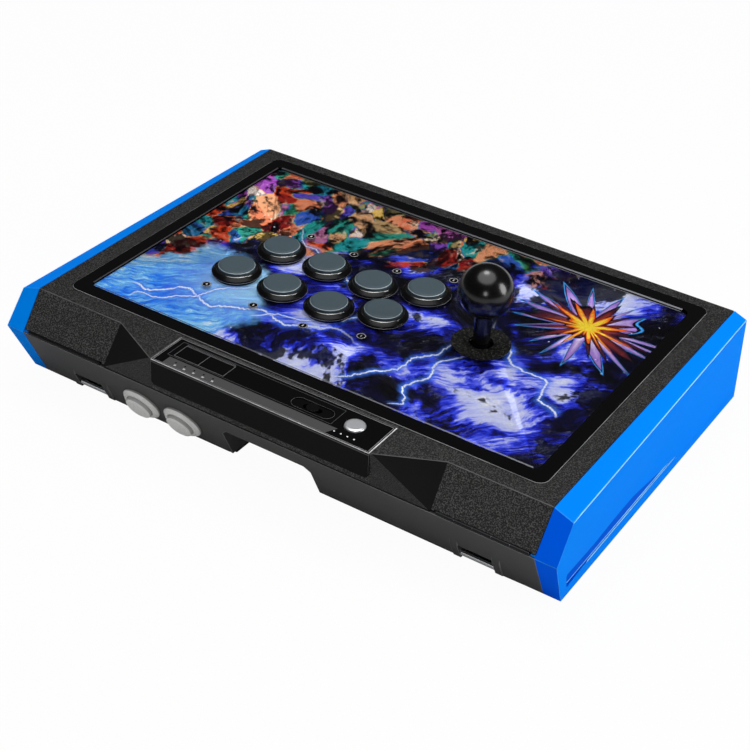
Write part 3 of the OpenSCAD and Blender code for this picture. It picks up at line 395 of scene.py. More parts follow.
def bolt(f, x, y, start, turn, length, width, seed, jag=9.0):
    """The core and the halo of a jagged streak from a place, thin at both ends."""
    along = ((x - start[0]) * math.cos(turn) + (y - start[1]) * math.sin(turn)) / length
    across = (y - start[1]) * math.cos(turn) - (x - start[0]) * math.sin(turn)
    path = f.joined(along * length * 0.012, seed)
    wave = (f.noise(3.2, 0.0, 0.5, path) - 0.5) * jag * 4.0
    bend = wave + (f.noise(14.0, 3.0, 0.75, path) - 0.5) * jag
    off = abs(across - bend * along.rise(0.0, 0.1))
    taper = along.rise(0.0, 0.06) * (1.0 - along.rise(0.55, 1.0))
    core = (1.0 - (off / width).rise(0.3, 1.0)) * taper.rise(0.0, 0.25) * taper
    halo = (1.0 - off.rise(0.0, width * 7.0)) * taper
    return core, halo * halo


def pool(x, y, centre, radius):
    """1 at a centre, falling to 0 at a radius."""
    dx = x - centre[0]
    dy = y - centre[1]
    return 1.0 - ((dx * dx + dy * dy) ** 0.5).rise(0.0, radius)


def spiked(f, dx, dy, points, seed, depth):
    """How far a place lies from the middle of a ragged star, as a share of the way to its edge."""
    angle = dy.maths("ARCTAN2", dy, dx) / math.tau
    way = angle * math.tau
    bent = f.noise(1.6, 0.0, 0.5, f.joined(way.maths("COSINE", way), way.maths("SINE", way), seed))
    tooth = angle * points + bent * 2.4
    tooth = abs(tooth.maths("FRACT", tooth) - 0.5) * 2.0
    edge = (1.0 - depth) + tooth ** 1.6 * depth * (0.5 + bent)
    return (dx * dx + dy * dy) ** 0.5 / edge


INK = tone(8, 6, 14)
NIGHT = (
    (0.22, tone(4, 4, 12)), (0.36, tone(12, 11, 52)), (0.44, tone(26, 28, 150)),
    (0.50, tone(40, 62, 240)), (0.56, tone(104, 116, 255)), (0.61, tone(186, 194, 255)),
    (0.74, tone(214, 220, 255)), (0.90, tone(246, 248, 255)),
)
AZURE = (
    (0.40, tone(8, 20, 96)), (0.55, tone(26, 84, 236)), (0.68, tone(50, 140, 255)),
    (0.80, tone(130, 206, 255)), (0.92, tone(232, 246, 255)),
)
SMOKE = (
    (0.08, tone(150, 24, 30)), (0.22, tone(250, 84, 44)), (0.34, tone(255, 190, 140)),
    (0.44, tone(60, 140, 76)), (0.54, tone(40, 180, 176)), (0.64, tone(60, 84, 214)),
    (0.76, tone(190, 80, 190)), (0.88, tone(255, 208, 80)), (0.97, tone(255, 238, 230)),
)

# Pools of light, as a centre and a radius in millimetres
BRIGHT_POOL = ((-92.0, 40.0), 86.0)
DIM_POOL = ((-24.0, -20.0), 60.0)
AZURE_POOL = ((122.0, 62.0), 140.0)
PALE_POOL = ((88.0, 26.0), 62.0)

# The burst's place, and its stars: reach, points, seed, depth, colours inside and the rim's colour
BURST = (-120.0, -62.0)
STARS = (
    (44.0, 17.0, 2.0, 0.62, (tone(214, 196, 236), tone(160, 120, 210)), tone(70, 170, 255)),
    (34.0, 13.0, 9.0, 0.66, (tone(150, 50, 40), tone(60, 24, 44)), INK),
    (25.0, 11.0, 15.0, 0.74, (tone(255, 222, 60), tone(244, 96, 24)), INK),
)

# Bolts: start, direction, length, width and seed
BOLTS = (
    ((152.0, 72.0), 3.35, 190.0, 1.3, 0.0), ((140.0, 88.0), 3.95, 110.0, 0.9, 3.0),
    ((64.0, 58.0), 3.75, 110.0, 0.8, 7.0), ((-16.0, 84.0), 4.1, 110.0, 0.9, 11.0),
    ((-60.0, 88.0), 4.6, 90.0, 1.0, 13.0), ((-150.0, 40.0), 5.6, 120.0, 1.1, 15.0),
    ((20.0, -14.0), 5.9, 110.0, 0.8, 19.0),
)


def printed_artwork():
    """Night clouds cut by pale light, coloured smoke, a burst of flame and long bolts."""
    # The artwork glows faintly in its own colour, though it is no lamp: painted light
    f = Finish("printed_artwork", Specular_IOR_Level=0.2, Roughness=0.45, Emission_Strength=0.22)
    point = f.point()
    slow = f.shifted(point, f.noise(7.0, 2.0, 0.5, output="Color"), 84 * MM)
    bent = f.shifted(slow, f.noise(26.0, 4.0, 0.6, slow, output="Color"), 24 * MM)
    x, y, _ = f.split(point)
    wx, wy, _ = f.split(bent)

    # The base: crisp pale forms on black and blue
    large = f.noise(12.0, 3.0, 0.55, bent)
    brush = f.noise(60.0, 6.0, 0.62, bent)
    streaks = f.noise(30.0, 5.0, 0.7, f.joined(wx * 0.0012 + wy * 0.0016, wy * 0.0105 - wx * 0.008))
    bright = pool(x, y, *BRIGHT_POOL) + pool(x, y, *DIM_POOL) * 0.5
    glow = (large - 0.5) * 2.5 + (brush - 0.5) * 0.5 + (streaks - 0.5) * 0.7 + bright * 0.42 + 0.36
    sky = glow.ramp(*NIGHT)
    azure = (streaks * 0.8 + large * 0.7).ramp(*AZURE)
    ragged = (f.noise(22.0, 5.0, 0.65, point) - 0.5) * 110.0
    sky = f.mix(sky, tone(5, 5, 18), f.noise(15.0, 5.0, 0.66, slow).rise(0.555, 0.585) * 0.95)
    azure = f.mix(azure, tone(186, 236, 255), pool(x, y, *PALE_POOL) * (0.4 + brush * 0.7))
    sky = f.mix(sky, azure, (pool(x, y, *AZURE_POOL) + ragged * 0.004).rise(0.50, 0.62))

    # Coloured smoke over the far corner, in crisp patches with lit edges
    patch = f.node(
        "ShaderNodeTexVoronoi", {"feature": "SMOOTH_F1"},
        {"Vector": bent, "Scale": 64.0, "Smoothness": 0.15}, "Color",
    )
    hue = f.node("ShaderNodeSeparateColor", None, {0: patch})
    smoke = hue.ramp(*SMOKE)
    fold = f.noise(105.0, 7.0, 0.7, bent) * 0.65 + brush * 0.45
    smoke = f.mix(INK, smoke, fold.rise(0.48, 0.57))
    smoke = f.mix(smoke, tone(255, 232, 200), fold.rise(0.60, 0.70) * 0.85)
    smoke = f.mix(smoke, tone(6, 5, 12), f.noise(30.0, 5.0, 0.65, slow).rise(0.53, 0.57) * 0.92)
    far = ((x * 0.55 - y * 1.0) + ragged * 1.3).rise(64.0, 78.0)
    art = f.mix(sky, smoke, far)

    # A burst of flame: a pale and a dark star under an orange one, each with a dark outline
    dx = (x - BURST[0]) * 0.76 + (wx - x) * 0.12
    dy = (y - BURST[1]) + (x - BURST[0]) * 0.12 + (wy - y) * 0.12
    for reach, points, seed, depth, inner, rim in STARS:
        star = spiked(f, dx, dy, points, seed, depth) / reach
        paint = f.mix(*inner, (star + (brush - 0.5) * 1.2).rise(0.35, 0.9))
        art = f.mix(art, rim, 1.0 - star.rise(1.05, 1.09))
        art = f.mix(art, INK, 1.0 - star.rise(1.0, 1.03))
        art = f.mix(art, paint, 1.0 - star.rise(0.93, 0.96))

    # Long bolts with blue halos
    for start, angle, length, width, seed in BOLTS:
        core, halo = bolt(f, x, y, start, angle, length, width, seed)
        art = f.mix(art, tone(70, 130, 255), halo * 0.7)
        art = f.mix(art, tone(236, 243, 255), core)

    # Thin strokes that follow the painted forms
    stroke = 1.0 - abs(streaks - 0.47).rise(0.001, 0.007)
    art = f.mix(art, tone(206, 216, 255), stroke * brush.rise(0.5, 0.6) * (1.0 - far) * 0.5)
    spark = f.cells(170.0)
    art = f.mix(art, tone(236, 240, 255), (spark < 0.09) * (f.noise(30.0, 2.0) > 0.58) * 0.9)
    border = corner_distance(x, y, WINDOW_LOW, WINDOW_HIGH, WINDOW_CORNER) > 0.0
    art = f.mix(art, tone(12, 12, 13), border)
    f.set(Base_Color=art, Emission_Color=art)
    return f.material


# The strip's printing, in millimetres: a band with a slanted end, two keys, their hatched line,
# a frame and the lamps' marks
BAND_END = 71.6
BAND_Y = (127.2, 134.6)
BAND_SLANT = 0.55
SLANT_START = -48.3
KEYS = (((33.0, 112.0), (52.2, 124.6)), ((52.2, 112.0), (70.5, 124.6)))
HATCH = ((33.0, 70.5), (110.2, 111.6))
FRAME_LINE = ((-46.5, 109.6), (74.6, 125.8))
MARKS = ((33.6, 67.6), (132.0, 133.4))
MARK_START = 30.6
MARK_PITCH = 7.1
STRIP_LOW, STRIP_HIGH = (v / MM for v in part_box("strip_cover"))


def strip_print():
    """The function strip's glossy black with its printed band, keys, lamp marks and frames, and a
    painted highlight near its edges.
    """
    f = Finish("strip_print", Specular_IOR_Level=0.25)
    x, y, z = f.split(f.point())
    top = z > STRIP_HIGH[2] - PRINT_LIMIT

    slant = (x + (BAND_Y[1] - y) * BAND_SLANT) > SLANT_START
    band = (y > BAND_Y[0]) * (y < BAND_Y[1]) * (x < BAND_END) * slant
    keys = outline(x, y, *KEYS[0], 0.2, 0.35).most(outline(x, y, *KEYS[1], 0.2, 0.35))
    hatch = inside(x, y, *HATCH) * (x.maths("FRACT", x * 0.8) < 0.45)
    frame_line = outline(x, y, *FRAME_LINE, 0.4, 0.3)
    step = x.maths("MODULO", x - MARK_START, MARK_PITCH)
    marks = inside(x, y, *MARKS) * (step < 5.2) * (step > 3.6) * (x.maths("FRACT", x * 2.6) < 0.6)
    low = (STRIP_LOW[0] + 1.4, STRIP_LOW[1] + 1.2)
    high = (STRIP_HIGH[0] - 1.4, STRIP_HIGH[1] - 1.0)
    # A light grey line just inside the strip's edges: a painted highlight
    edge_highlight_line = outline(x, y, low, high, 0.4, 0.4)
    ink = f.mix(tone(12, 12, 13), tone(74, 74, 75), band * top)
    ink = f.mix(ink, tone(112, 112, 114), (keys * top).most(hatch * top * 0.7))
    ink = f.mix(ink, tone(90, 90, 92), frame_line * top * 0.8)
    ink = f.mix(ink, tone(140, 140, 142), edge_highlight_line * top)
    ink = f.mix(ink, tone(225, 225, 225), marks * top)
    smear = f.noise(30.0, 3.0, 0.55)
    f.set(Base_Color=ink, Roughness=0.12 + smear * 0.06 + band * top * 0.25)
    return f.material


def strip_rear():
    """The strip's rear face, with a light line painted below its upper edge as the highlight of a
    rounded edge.
    """
    f = Finish("strip_rear", Specular_IOR_Level=0.05, Roughness=0.45)
    _, _, z = f.split(f.point())
    grain = f.noise(1300.0, 2.0, 0.6)
    below = STRIP_HIGH[2] - z
    # The light band is a painted highlight
    line = below.rise(1.2, 1.5) * (1.0 - below.rise(1.8, 2.2))
    face = f.mix(tone(12, 12, 12), tone(20, 20, 20), grain)
    f.set(Base_Color=f.mix(face, tone(92, 92, 93), line))
    return f.material


def badge_print():
    """White ring and numeral on a black disc: black below a level, white above it."""
    f = Finish("badge_print", Specular_IOR_Level=0.05, Roughness=0.5)
    _, _, z = f.split(f.point())
    worn = f.noise(500.0, 2.0, 0.6)
    ink = f.mix(tone(236, 236, 236), tone(255, 255, 255), worn)
    f.set(Base_Color=f.mix(tone(12, 12, 13), ink, z > COVER_TOP + PRINT_LIMIT))
    return f.material


# The smooth band of the lid before the strip, as its low and high corners in millimetres
BLOCK_X = 81.0
PLAIN_BAND = ((-BLOCK_X, 100.0), (BLOCK_X, 106.3))

# Moulded grains: how fine, where the specks start and where they are full, and how deep
GRAIN = (1400.0, 0.44, 0.68, 0.06 * MM)
FINE_GRAIN = (1900.0, 0.42, 0.66, 0.05 * MM)
COARSE_GRAIN = (1300.0, 0.56, 0.68, 0.12 * MM)

FINISHES = {
    "grained_black": grained(
        "grained_black", tone(37, 37, 37), tone(90, 90, 89), *GRAIN, PLAIN_BAND
    ),
    # a darker copy of the grain for the lid's top faces: painted shade
    "grained_top_shaded": grained("grained_top_shaded", tone(26, 26, 26), tone(74, 74, 73), *GRAIN),
    "facet_black": plain_black("facet_black", tone(24, 24, 24), 0.5, specular=0.05),
    "facet_grain": grained("facet_grain", tone(38, 38, 38), tone(66, 66, 66), *FINE_GRAIN),
    "tray_black": plain_black("tray_black", tone(66, 66, 66), 0.55),
    # a light line on the tray's outer edges: a painted highlight
    "tray_edge_highlight": worn_edge("tray_edge_highlight", tone(128, 128, 128), 0.4),
    "satin_blue": painted_blue("satin_blue", tone(4, 132, 247)),
    # shaded and lit copies of the blue for the panels' rear faces: painted shade and painted light
    "rear_blue_shade": painted_blue("rear_blue_shade", tone(0, 97, 246)),
    "rear_blue_lit": painted_blue("rear_blue_lit", tone(0, 140, 255)),
    # a darker blue for the groove: painted shade in the recess
    "groove_blue_shade": painted_blue("groove_blue_shade", tone(0, 88, 214), 0.4),
    # pale lines on the blue edges: painted highlights
    "blue_edge_highlight": worn_edge("blue_edge_highlight", tone(150, 220, 255), 0.35, 0.3, 0.8),
    "blue_glint": worn_edge("blue_glint", tone(40, 150, 255), 0.4, 0.1, 0.8),
    # a darker line in the crease by the lid: painted shade
    "blue_crease_shade": worn_edge("blue_crease_shade", tone(0, 84, 190), 0.5, 0.1),
    # light grey lines on black edges: painted highlights
    "black_edge_highlight": worn_edge("black_edge_highlight", tone(96, 96, 96), 0.4, 0.25),
    # a near-white line on the strip's upper outer edges: a painted highlight
    "strip_edge_highlight": worn_edge("strip_edge_highlight", tone(245, 245, 247), 0.3, 0.6, 0.6),
    # light grey on the cover's rounded edges: a painted highlight
    "cover_edge_highlight": worn_edge("cover_edge_highlight", tone(150, 150, 152), 0.3, 0.4, 0.5),
    "flange_glint": worn_edge("flange_glint", tone(150, 150, 153), 0.25, 0.6, 0.5),
    "strip_rear": strip_rear(),
    "gloss_black": gloss_black(),
    "flange_black": gloss_black("flange_black", tone(10, 10, 11), 0.25, 0.24),
    "flange_lip": gloss_black("flange_lip", tone(14, 14, 15), 0.14, 1.0, 2.1),
    "ball_black": gloss_black("ball_black", tone(8, 8, 9), 0.2, 0.6),
    "satin_black": satin_plastic("satin_black", tone(20, 20, 21), 0.3),
    "satin_grey": satin_plastic("satin_grey", tone(72, 86, 93), 0.5, 0.2),
    # a darker copy of the plunger grey for its sides: painted shade
    "cap_side_shade": satin_plastic("cap_side_shade", tone(66, 79, 86), 0.45, 0.2),
    "cap_glint": satin_plastic("cap_glint", tone(176, 192, 198), 0.2, 1.0),
    "pale_grey": satin_plastic("pale_grey", tone(248, 248, 246), 0.26, 0.5),
    # a darker copy of the pale grey for the rear buttons' sides: painted shade
    "pale_side_shade": satin_plastic("pale_side_shade", tone(190, 190, 188), 0.3, 0.4),
    "nylon": satin_plastic("nylon", tone(222, 222, 214), 0.4),
    "red_wire": satin_plastic("red_wire", tone(170, 34, 28), 0.45),
    "dark_lens": satin_plastic("dark_lens", tone(9, 9, 10), 0.12, 0.5),
    "coarse_black": grained("coarse_black", tone(11, 11, 11), tone(84, 84, 80), *COARSE_GRAIN),
    "steel": metal("steel", tone(190, 192, 196), 0.3, (1.0, 0.08, 1.0)),
    "chrome": metal("chrome", tone(216, 218, 222), 0.12),
    "silver_dome": metal("silver_dome", tone(236, 238, 242), 0.32, contrast=0.1, share=0.75),
    "black_steel": metal("black_steel", tone(52, 52, 54), 0.4),
    "rubber": rubber(),
    "circuit_board": circuit_board(),
    "clear_cover": clear_cover(),
    "printed_artwork": printed_artwork(),
    "strip_print": strip_print(),
    "badge_print": badge_print(),
}


# Modelling helpers

MERGE = 0.002 * MM
FLAT_ANGLE = math.radians(0.3)
EDGE_ANGLE = math.radians(28)
SMOOTH_ANGLE = math.radians(32)


def only(obj):
    """Selects one object and makes it the active one."""
    if bpy.context.object and bpy.context.object.mode != "OBJECT":
        bpy.ops.object.mode_set(mode="OBJECT")
    bpy.ops.object.select_all(action="DESELECT")
    obj.select_set(True)
    bpy.context.view_layer.objects.active = obj


def coat(obj, name):
    obj.data.materials.clear()
    obj.data.materials.append(FINISHES[name])


def coat_index(piece, name):
    """The slot of a finish on a piece, added if it isn't there yet."""
    slots = [material.name for material in piece.data.materials]
    if FINISHES[name].name not in slots:
        piece.data.materials.append(FINISHES[name])
        slots.append(FINISHES[name].name)
    return slots.index(FINISHES[name].name)


def finished(node, finish, width=0.0, segments=2):
    """A copy of a CAD node with its doubles merged, its edges rounded and its curves smooth."""
    source = frame["nodes"][node]
    body = source["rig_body"]
    only(source)
    bpy.ops.object.duplicate()
    piece = bpy.context.object
    piece.name = node + "_finished"
    del piece["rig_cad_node"]
    bpy.ops.object.mode_set(mode="EDIT")
    bpy.ops.mesh.select_all(action="SELECT")
    bpy.ops.mesh.remove_doubles(threshold=MERGE)
    bpy.ops.mesh.dissolve_limited(angle_limit=FLAT_ANGLE)
    bpy.ops.object.mode_set(mode="OBJECT")
    if piece.data.has_custom_normals:
        bpy.ops.mesh.customdata_custom_splitnormals_clear()
    coat(piece, finish)
    for face in piece.data.polygons:
        face.material_index = 0
    if width:
        bevel = piece.modifiers.new("rounded_edges", "BEVEL")
        bevel.width = width
        bevel.segments = segments
        bevel.limit_method = "ANGLE"
        bevel.angle_limit = EDGE_ANGLE
        bpy.ops.object.modifier_apply(modifier=bevel.name)
    even_shading(piece)
    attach(piece, body)
    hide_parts(node)
    return piece


def trim_edges(piece, finish, width, wanted, least_angle=8.0):
    """Rounds and coats the sharp edges that a test picks by middle, direction and length."""
    only(piece)
    index = coat_index(piece, finish)
    bpy.ops.object.mode_set(mode="EDIT")
    bpy.ops.mesh.select_mode(type="EDGE")
    bpy.ops.mesh.select_all(action="DESELECT")
    sketch = bmesh.from_edit_mesh(piece.data)
    for edge in sketch.edges:
        if edge.is_manifold and edge.calc_face_angle() > math.radians(least_angle):
            way = edge.verts[1].co - edge.verts[0].co
            middle = (edge.verts[0].co + edge.verts[1].co) / 2
            if wanted(middle / MM, way.normalized(), way.length / MM):
                edge.select_set(True)
    bmesh.update_edit_mesh(piece.data)
    bpy.ops.mesh.bevel(
        offset_type="OFFSET", offset=width, segments=2, affect="EDGES", clamp_overlap=False,
        material=index,
    )
    bpy.ops.object.mode_set(mode="OBJECT")
    even_shading(piece)


def even_shading(piece):
    """Smooth curves, with each flat face kept flat beside its rounded edges."""
    bpy.ops.object.shade_smooth_by_angle(angle=SMOOTH_ANGLE)
    even = piece.modifiers.new("even_shading", "WEIGHTED_NORMAL")
    even.keep_sharp = True
    bpy.ops.object.modifier_apply(modifier=even.name)


def recoat(piece, finish, wanted):
    """Coats the faces that a test picks by centre, normal and area, in millimetres."""
    index = coat_index(piece, finish)
    for face in piece.data.polygons:
        if wanted(face.center / MM, face.normal, face.area / MM / MM):
            face.material_index = index


# Places that pick faces and edges, in millimetres
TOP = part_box("top_shell")[1][2] / MM
SEAM_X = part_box("bottom_shell")[1][0] / MM
SIDE_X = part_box("right_side_panel")[1][0] / MM
REAR_Y = STRIP_HIGH[1]
SLOPE_Y = 110
GROOVE_END = 118
FACET_AREA = 60

# Widths of the trimmed edges
FINE = 0.3 * MM
CREASE = 0.25 * MM
RIDGE = 0.4 * MM
GROOVE_LIP = 0.45 * MM


# The lid: grained, smooth facets by the centre block, painted shade on its top and painted
# highlights on its top edges

def lid():
    piece = finished("top_shell", "grained_black")
    recoat(
        piece, "facet_black",
        lambda c, n, area: abs(n.x) > 0.3 and n.y > 0.6 and n.z > 0.4 and area > FACET_AREA,
    )
    recoat(
        piece, "facet_grain",
        lambda c, n, area: abs(c.x) > BLOCK_X and n.y > 0.99 and area > FACET_AREA,
    )
    # The top faces take the darker copy of the grain: painted shade
    recoat(piece, "grained_top_shaded", lambda c, n, area: n.z > 0.98 and c.z > TOP - 1.0)

    def upper(middle, way, length):
        on_top = middle.z > TOP - 0.2 and abs(way.z) < 0.02
        return length > 6 and on_top and abs(middle.x) < SEAM_X - 1.5

    # A light line along the top edges: a painted highlight
    trim_edges(piece, "black_edge_highlight", FINE, upper)


def tray():
    piece = finished("bottom_shell", "tray_black")
    recoat(piece, "facet_black", lambda c, n, area: n.z < -0.95)

    def outer(middle, way, length):
        at_rear = middle.y > 112 and length > 3
        at_front = middle.y < -135 and length > 20
        return at_rear or at_front

    # A light line along the outer rear and front edges: a painted highlight
    trim_edges(piece, "tray_edge_highlight", FINE, outer, least_angle=15.0)


# A side panel: blue, with a painted highlight on its upper edge and painted shade in the groove low
# in its outer face

def side_panel(node):
    piece = finished(node, "satin_blue")
    # The rear faces take a shaded copy of the blue on the left panel and a lit copy on the right:
    # painted shade and painted light
    rear = "rear_blue_shade" if node.startswith("left") else "rear_blue_lit"
    recoat(piece, rear, lambda c, n, area: n.y > 0.3 and abs(c.x) > SEAM_X and area > 20)

    def wall(c, n, area):
        return abs(n.x) < 0.8 and 3 < c.z < 25 and abs(c.x) > SEAM_X + 5 and abs(c.y) < GROOVE_END

    def bottom(c, n, area):
        return 800 < area < 1300 and c.z < 20 and abs(c.x) > SIDE_X - 6

    def ridge(middle, way, length):
        return length > 100 and middle.z > 50 and abs(middle.x) > SEAM_X + 6

    def corner(middle, way, length):
        return 8 < length < 60 and abs(middle.x) > SEAM_X + 5 and middle.y > SLOPE_Y

    def groove_edge(middle, way, length):
        return length > 90 and 5 < middle.z < 12 and abs(middle.x) > SIDE_X - 5

    def crease(middle, way, length):
        return length > 15 and abs(middle.x) < SEAM_X + 1

    # The groove's walls and floor are painted darker: painted shade in the recess
    recoat(piece, "groove_blue_shade", wall)
    # Pale lines on the upper ridge and the groove's lips: painted highlights
    trim_edges(piece, "blue_edge_highlight", RIDGE, ridge, least_angle=30.0)
    trim_edges(piece, "blue_glint", FINE, corner, least_angle=14.0)
    trim_edges(piece, "blue_edge_highlight", GROOVE_LIP, groove_edge, least_angle=30.0)
    recoat(piece, "groove_blue_shade", bottom)
    # The crease by the lid is painted darker: painted shade
    trim_edges(piece, "blue_crease_shade", CREASE, crease)


lid()
tray()
side_panel("left_side_panel")
side_panel("right_side_panel")


# A button's body: its lip lies against the plunger, and a thin light ring at the flange's foot is a
# painted highlight

LIP_IN = 3.5 * MM
LIP_R = 0.85 * MM
FOOT_IN = 0.05 * MM
FOOT_R = 0.17 * MM


def flange(number):
    node = f"button_body_{number}"
    piece = finished(node, "flange_black", 0.5 * MM, 3)
    low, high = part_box(node)
    middle = ((low[0] + high[0]) / 2, (low[1] + high[1]) / 2)
    rim = (high[0] - low[0]) / 2
    for reach, thick, level, finish in (
        (rim - LIP_IN, LIP_R, high[2] - LIP_R / 2, "flange_lip"),
        (rim - FOOT_IN, FOOT_R, COVER_TOP * MM + FOOT_R, "flange_glint"),
    ):
        bpy.ops.object.select_all(action="DESELECT")
        bpy.ops.mesh.primitive_torus_add(
            major_radius=reach, minor_radius=thick, major_segments=72, minor_segments=12,
            location=(*middle, level),
        )
        ring = bpy.context.object
        bpy.ops.object.shade_smooth()
        coat(ring, finish)
        piece.select_set(True)
        bpy.context.view_layer.objects.active = piece
        bpy.ops.object.join()


# The strip: a bright painted highlight on its upper outer edges and faint painted highlights
# elsewhere

STRIP_SIDE_X = 79
STRIP_EDGE_Z = TOP - 0.3
STRIP_REAR_Y = REAR_Y - 0.2

strip = finished("strip_cover", "strip_print")
trim_edges(
    strip, "strip_edge_highlight", 0.5 * MM,
    lambda m, way, length: (
        length > 4 and m.z > STRIP_EDGE_Z and (m.y > STRIP_REAR_Y or abs(m.x) > STRIP_SIDE_X)
    ),
)
trim_edges(
    strip, "black_edge_highlight", RIDGE,
    lambda m, way, length: length > 4 and m.z > STRIP_EDGE_Z and m.y < 107,
)
trim_edges(
    strip, "black_edge_highlight", FINE,
    lambda m, way, length: length > 4 and abs(m.x) > STRIP_SIDE_X and m.y > STRIP_REAR_Y,
)
recoat(strip, "strip_rear", lambda c, n, area: n.y > 0.9 and area > 200)


# The cover, the sheet, the lever and the smaller parts

cover = finished("clear_cover", "clear_cover", FINE)
# The cover's rounded edges are coated light grey: a painted highlight
recoat(cover, "cover_edge_highlight", lambda c, n, area: 0.3 < n.z < 0.95)

# Node, finish, width of the round edge in millimetres, and its segments
ROUNDED = (
    ("art_sheet", "printed_artwork", 0.0, 2),
    ("ball_top", "ball_black", 0.0, 2),
    ("shaft_cover", "ball_black", 0.0, 2),
    ("dust_washer", "coarse_black", 0.15, 2),
    ("lever_shaft", "steel", 0.0, 2),
    ("lever_spring", "steel", 0.0, 2),
    ("guide_button", "silver_dome", 1.1, 5),
    ("lock_slider", "gloss_black", 0.2, 2),
    ("release_button", "satin_black", 0.4, 2),
    ("strap_bars", "chrome", 0.3, 2),
    ("cable_socket", "steel", 0.2, 2),
    ("foot_pad", "rubber", 0.5, 2),
)
pieces = {
    node: finished(node, finish, width * MM, segments) for node, finish, width, segments in ROUNDED
}

# The spring tilts as one piece with the lever, which it would cut if it were only squashed
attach(pieces["lever_spring"], "lever")


# The buttons: painted shade on the sides, and a painted highlight round each of the eight plungers

REAR_AXIS = Vector((0.0, 0.9007, -0.4344))

rear_flanges = finished("rear_button_bodies", "pale_grey", 0.9 * MM, 4)
# Faces turned away from the rear are painted darker: painted shade
recoat(rear_flanges, "pale_side_shade", lambda c, n, area: n.dot(REAR_AXIS) < 0.4)
for number in (1, 2):
    cap = finished(f"rear_plunger_{number}", "pale_grey", 1.5 * MM, 5)
    recoat(cap, "pale_side_shade", lambda c, n, area: n.dot(REAR_AXIS) < 0.6)
for number in range(1, 9):
    flange(number)
    cap = finished(f"plunger_{number}", "satin_grey", 0.32 * MM, 3)
    # The sides are painted darker and the rounded edge lighter: painted shade and a painted
    # highlight
    recoat(cap, "cap_side_shade", lambda c, n, area: n.z < 0.5)
    recoat(cap, "cap_glint", lambda c, n, area: 0.5 < n.z < 0.88)


# Nodes that need only a finish: fasteners, boards, switches and what is under the lid

PLAIN = {
    "steel": ["base_plate", "tray_screws", "side_panel_screws", "hinge_pins", "control_panel",
              "lever_screws", "lever_clip"],
    "black_steel": ["hinge_base_leaves", "hinge_lid_leaves", "panel_screws", "lever_plate"],
    "circuit_board": ["main_board", "strip_board", "lever_board"],
    "satin_black": ["rear_button_switches", "button_switches", "lever_housing", "lever_switches",
                    "lever_actuator"],
    "nylon": ["lever_gate", "lever_pivot"],
    "pale_grey": ["indicator_lenses"],
    "red_wire": ["wiring_loom"],
}
for finish, nodes in PLAIN.items():
    for node in nodes:
        coat(frame["nodes"][node], finish)

# The lamps at one end of the strip are dark
recoat(frame["nodes"]["indicator_lenses"], "dark_lens", lambda c, n, area: c.x > -30)


# The numbered badges beside the buttons: a disc, a ring and a numeral each

BADGES = [(-9.4, 38.0), (26.9, 50.2), (66.2, 49.7), (105.8, 47.4),
          (-21.3, -55.4), (15.3, -42.5), (50.4, -43.2), (87.4, -45.5)]
RING_R = 2.8 * MM
PRINT_H = 0.12 * MM
DISC_R = 3.2 * MM
DISC_H = 0.06 * MM
NUMERAL = 2.6 * MM


def badge(number, x, y):
    """A thin raised ring with its numeral, printed white on a black disc on the cover."""
    place = (x * MM, y * MM, COVER_TOP * MM)
    bpy.ops.object.select_all(action="DESELECT")
    bpy.ops.mesh.primitive_torus_add(
        major_radius=RING_R, minor_radius=PRINT_H, major_segments=48, minor_segments=8,
        location=place,
    )
    ring = bpy.context.object
    bpy.ops.mesh.primitive_cylinder_add(vertices=40, radius=DISC_R, depth=DISC_H, location=place)
    disc = bpy.context.object
    bpy.ops.object.text_add(location=place, rotation=(0, 0, math.pi))
    numeral = bpy.context.object
    numeral.data.body = str(number)
    numeral.data.size = NUMERAL
    numeral.data.align_x = "CENTER"
    numeral.data.align_y = "CENTER"
    numeral.data.extrude = PRINT_H
    bpy.ops.object.convert(target="MESH")
    numeral = bpy.context.object
    bpy.ops.object.select_all(action="DESELECT")
    for part in (ring, disc, numeral):
        part.select_set(True)
    bpy.context.view_layer.objects.active = ring
    bpy.ops.object.join()
    bpy.ops.object.transform_apply(location=True, rotation=True, scale=True)
    ring.name = f"badge_{number}"
    coat(ring, "badge_print")
    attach(ring, "lid")


for number, (x, y) in enumerate(BADGES, 1):
    badge(number, x, y)


# The rim round the lock slider's pan: a circle whose halves are moved apart

PAN_R = 4.9 * MM
PAN_X = 9.7 * MM
RIM_R = 0.12 * MM


def lock_rim():
    low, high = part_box("lock_slider")
    middle = Vector(((low[0] + high[0]) / 2, (low[1] + high[1]) / 2, TOP * MM))
    bpy.ops.object.select_all(action="DESELECT")
    bpy.ops.curve.primitive_bezier_circle_add(radius=PAN_R, location=middle)
    rim = bpy.context.object
    rim.data.resolution_u = 24
    rim.data.bevel_depth = RIM_R
    rim.data.bevel_resolution = 3
    bpy.ops.object.convert(target="MESH")
    rim = bpy.context.object
    bpy.ops.object.transform_apply(location=True, rotation=True, scale=True)
    for vertex in rim.data.vertices:
        vertex.co.x += math.copysign(PAN_X, vertex.co.x - middle.x)
    rim.name = "lock_rim"
    # The rim is coated light grey as a painted highlight
    coat(rim, "black_edge_highlight")
    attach(rim, "lid")


lock_rim()


# The floor, which shows white to the camera and keeps a soft shadow

FLOOR_SIZE = 40.0
FLOOR_Z = -0.2 * MM


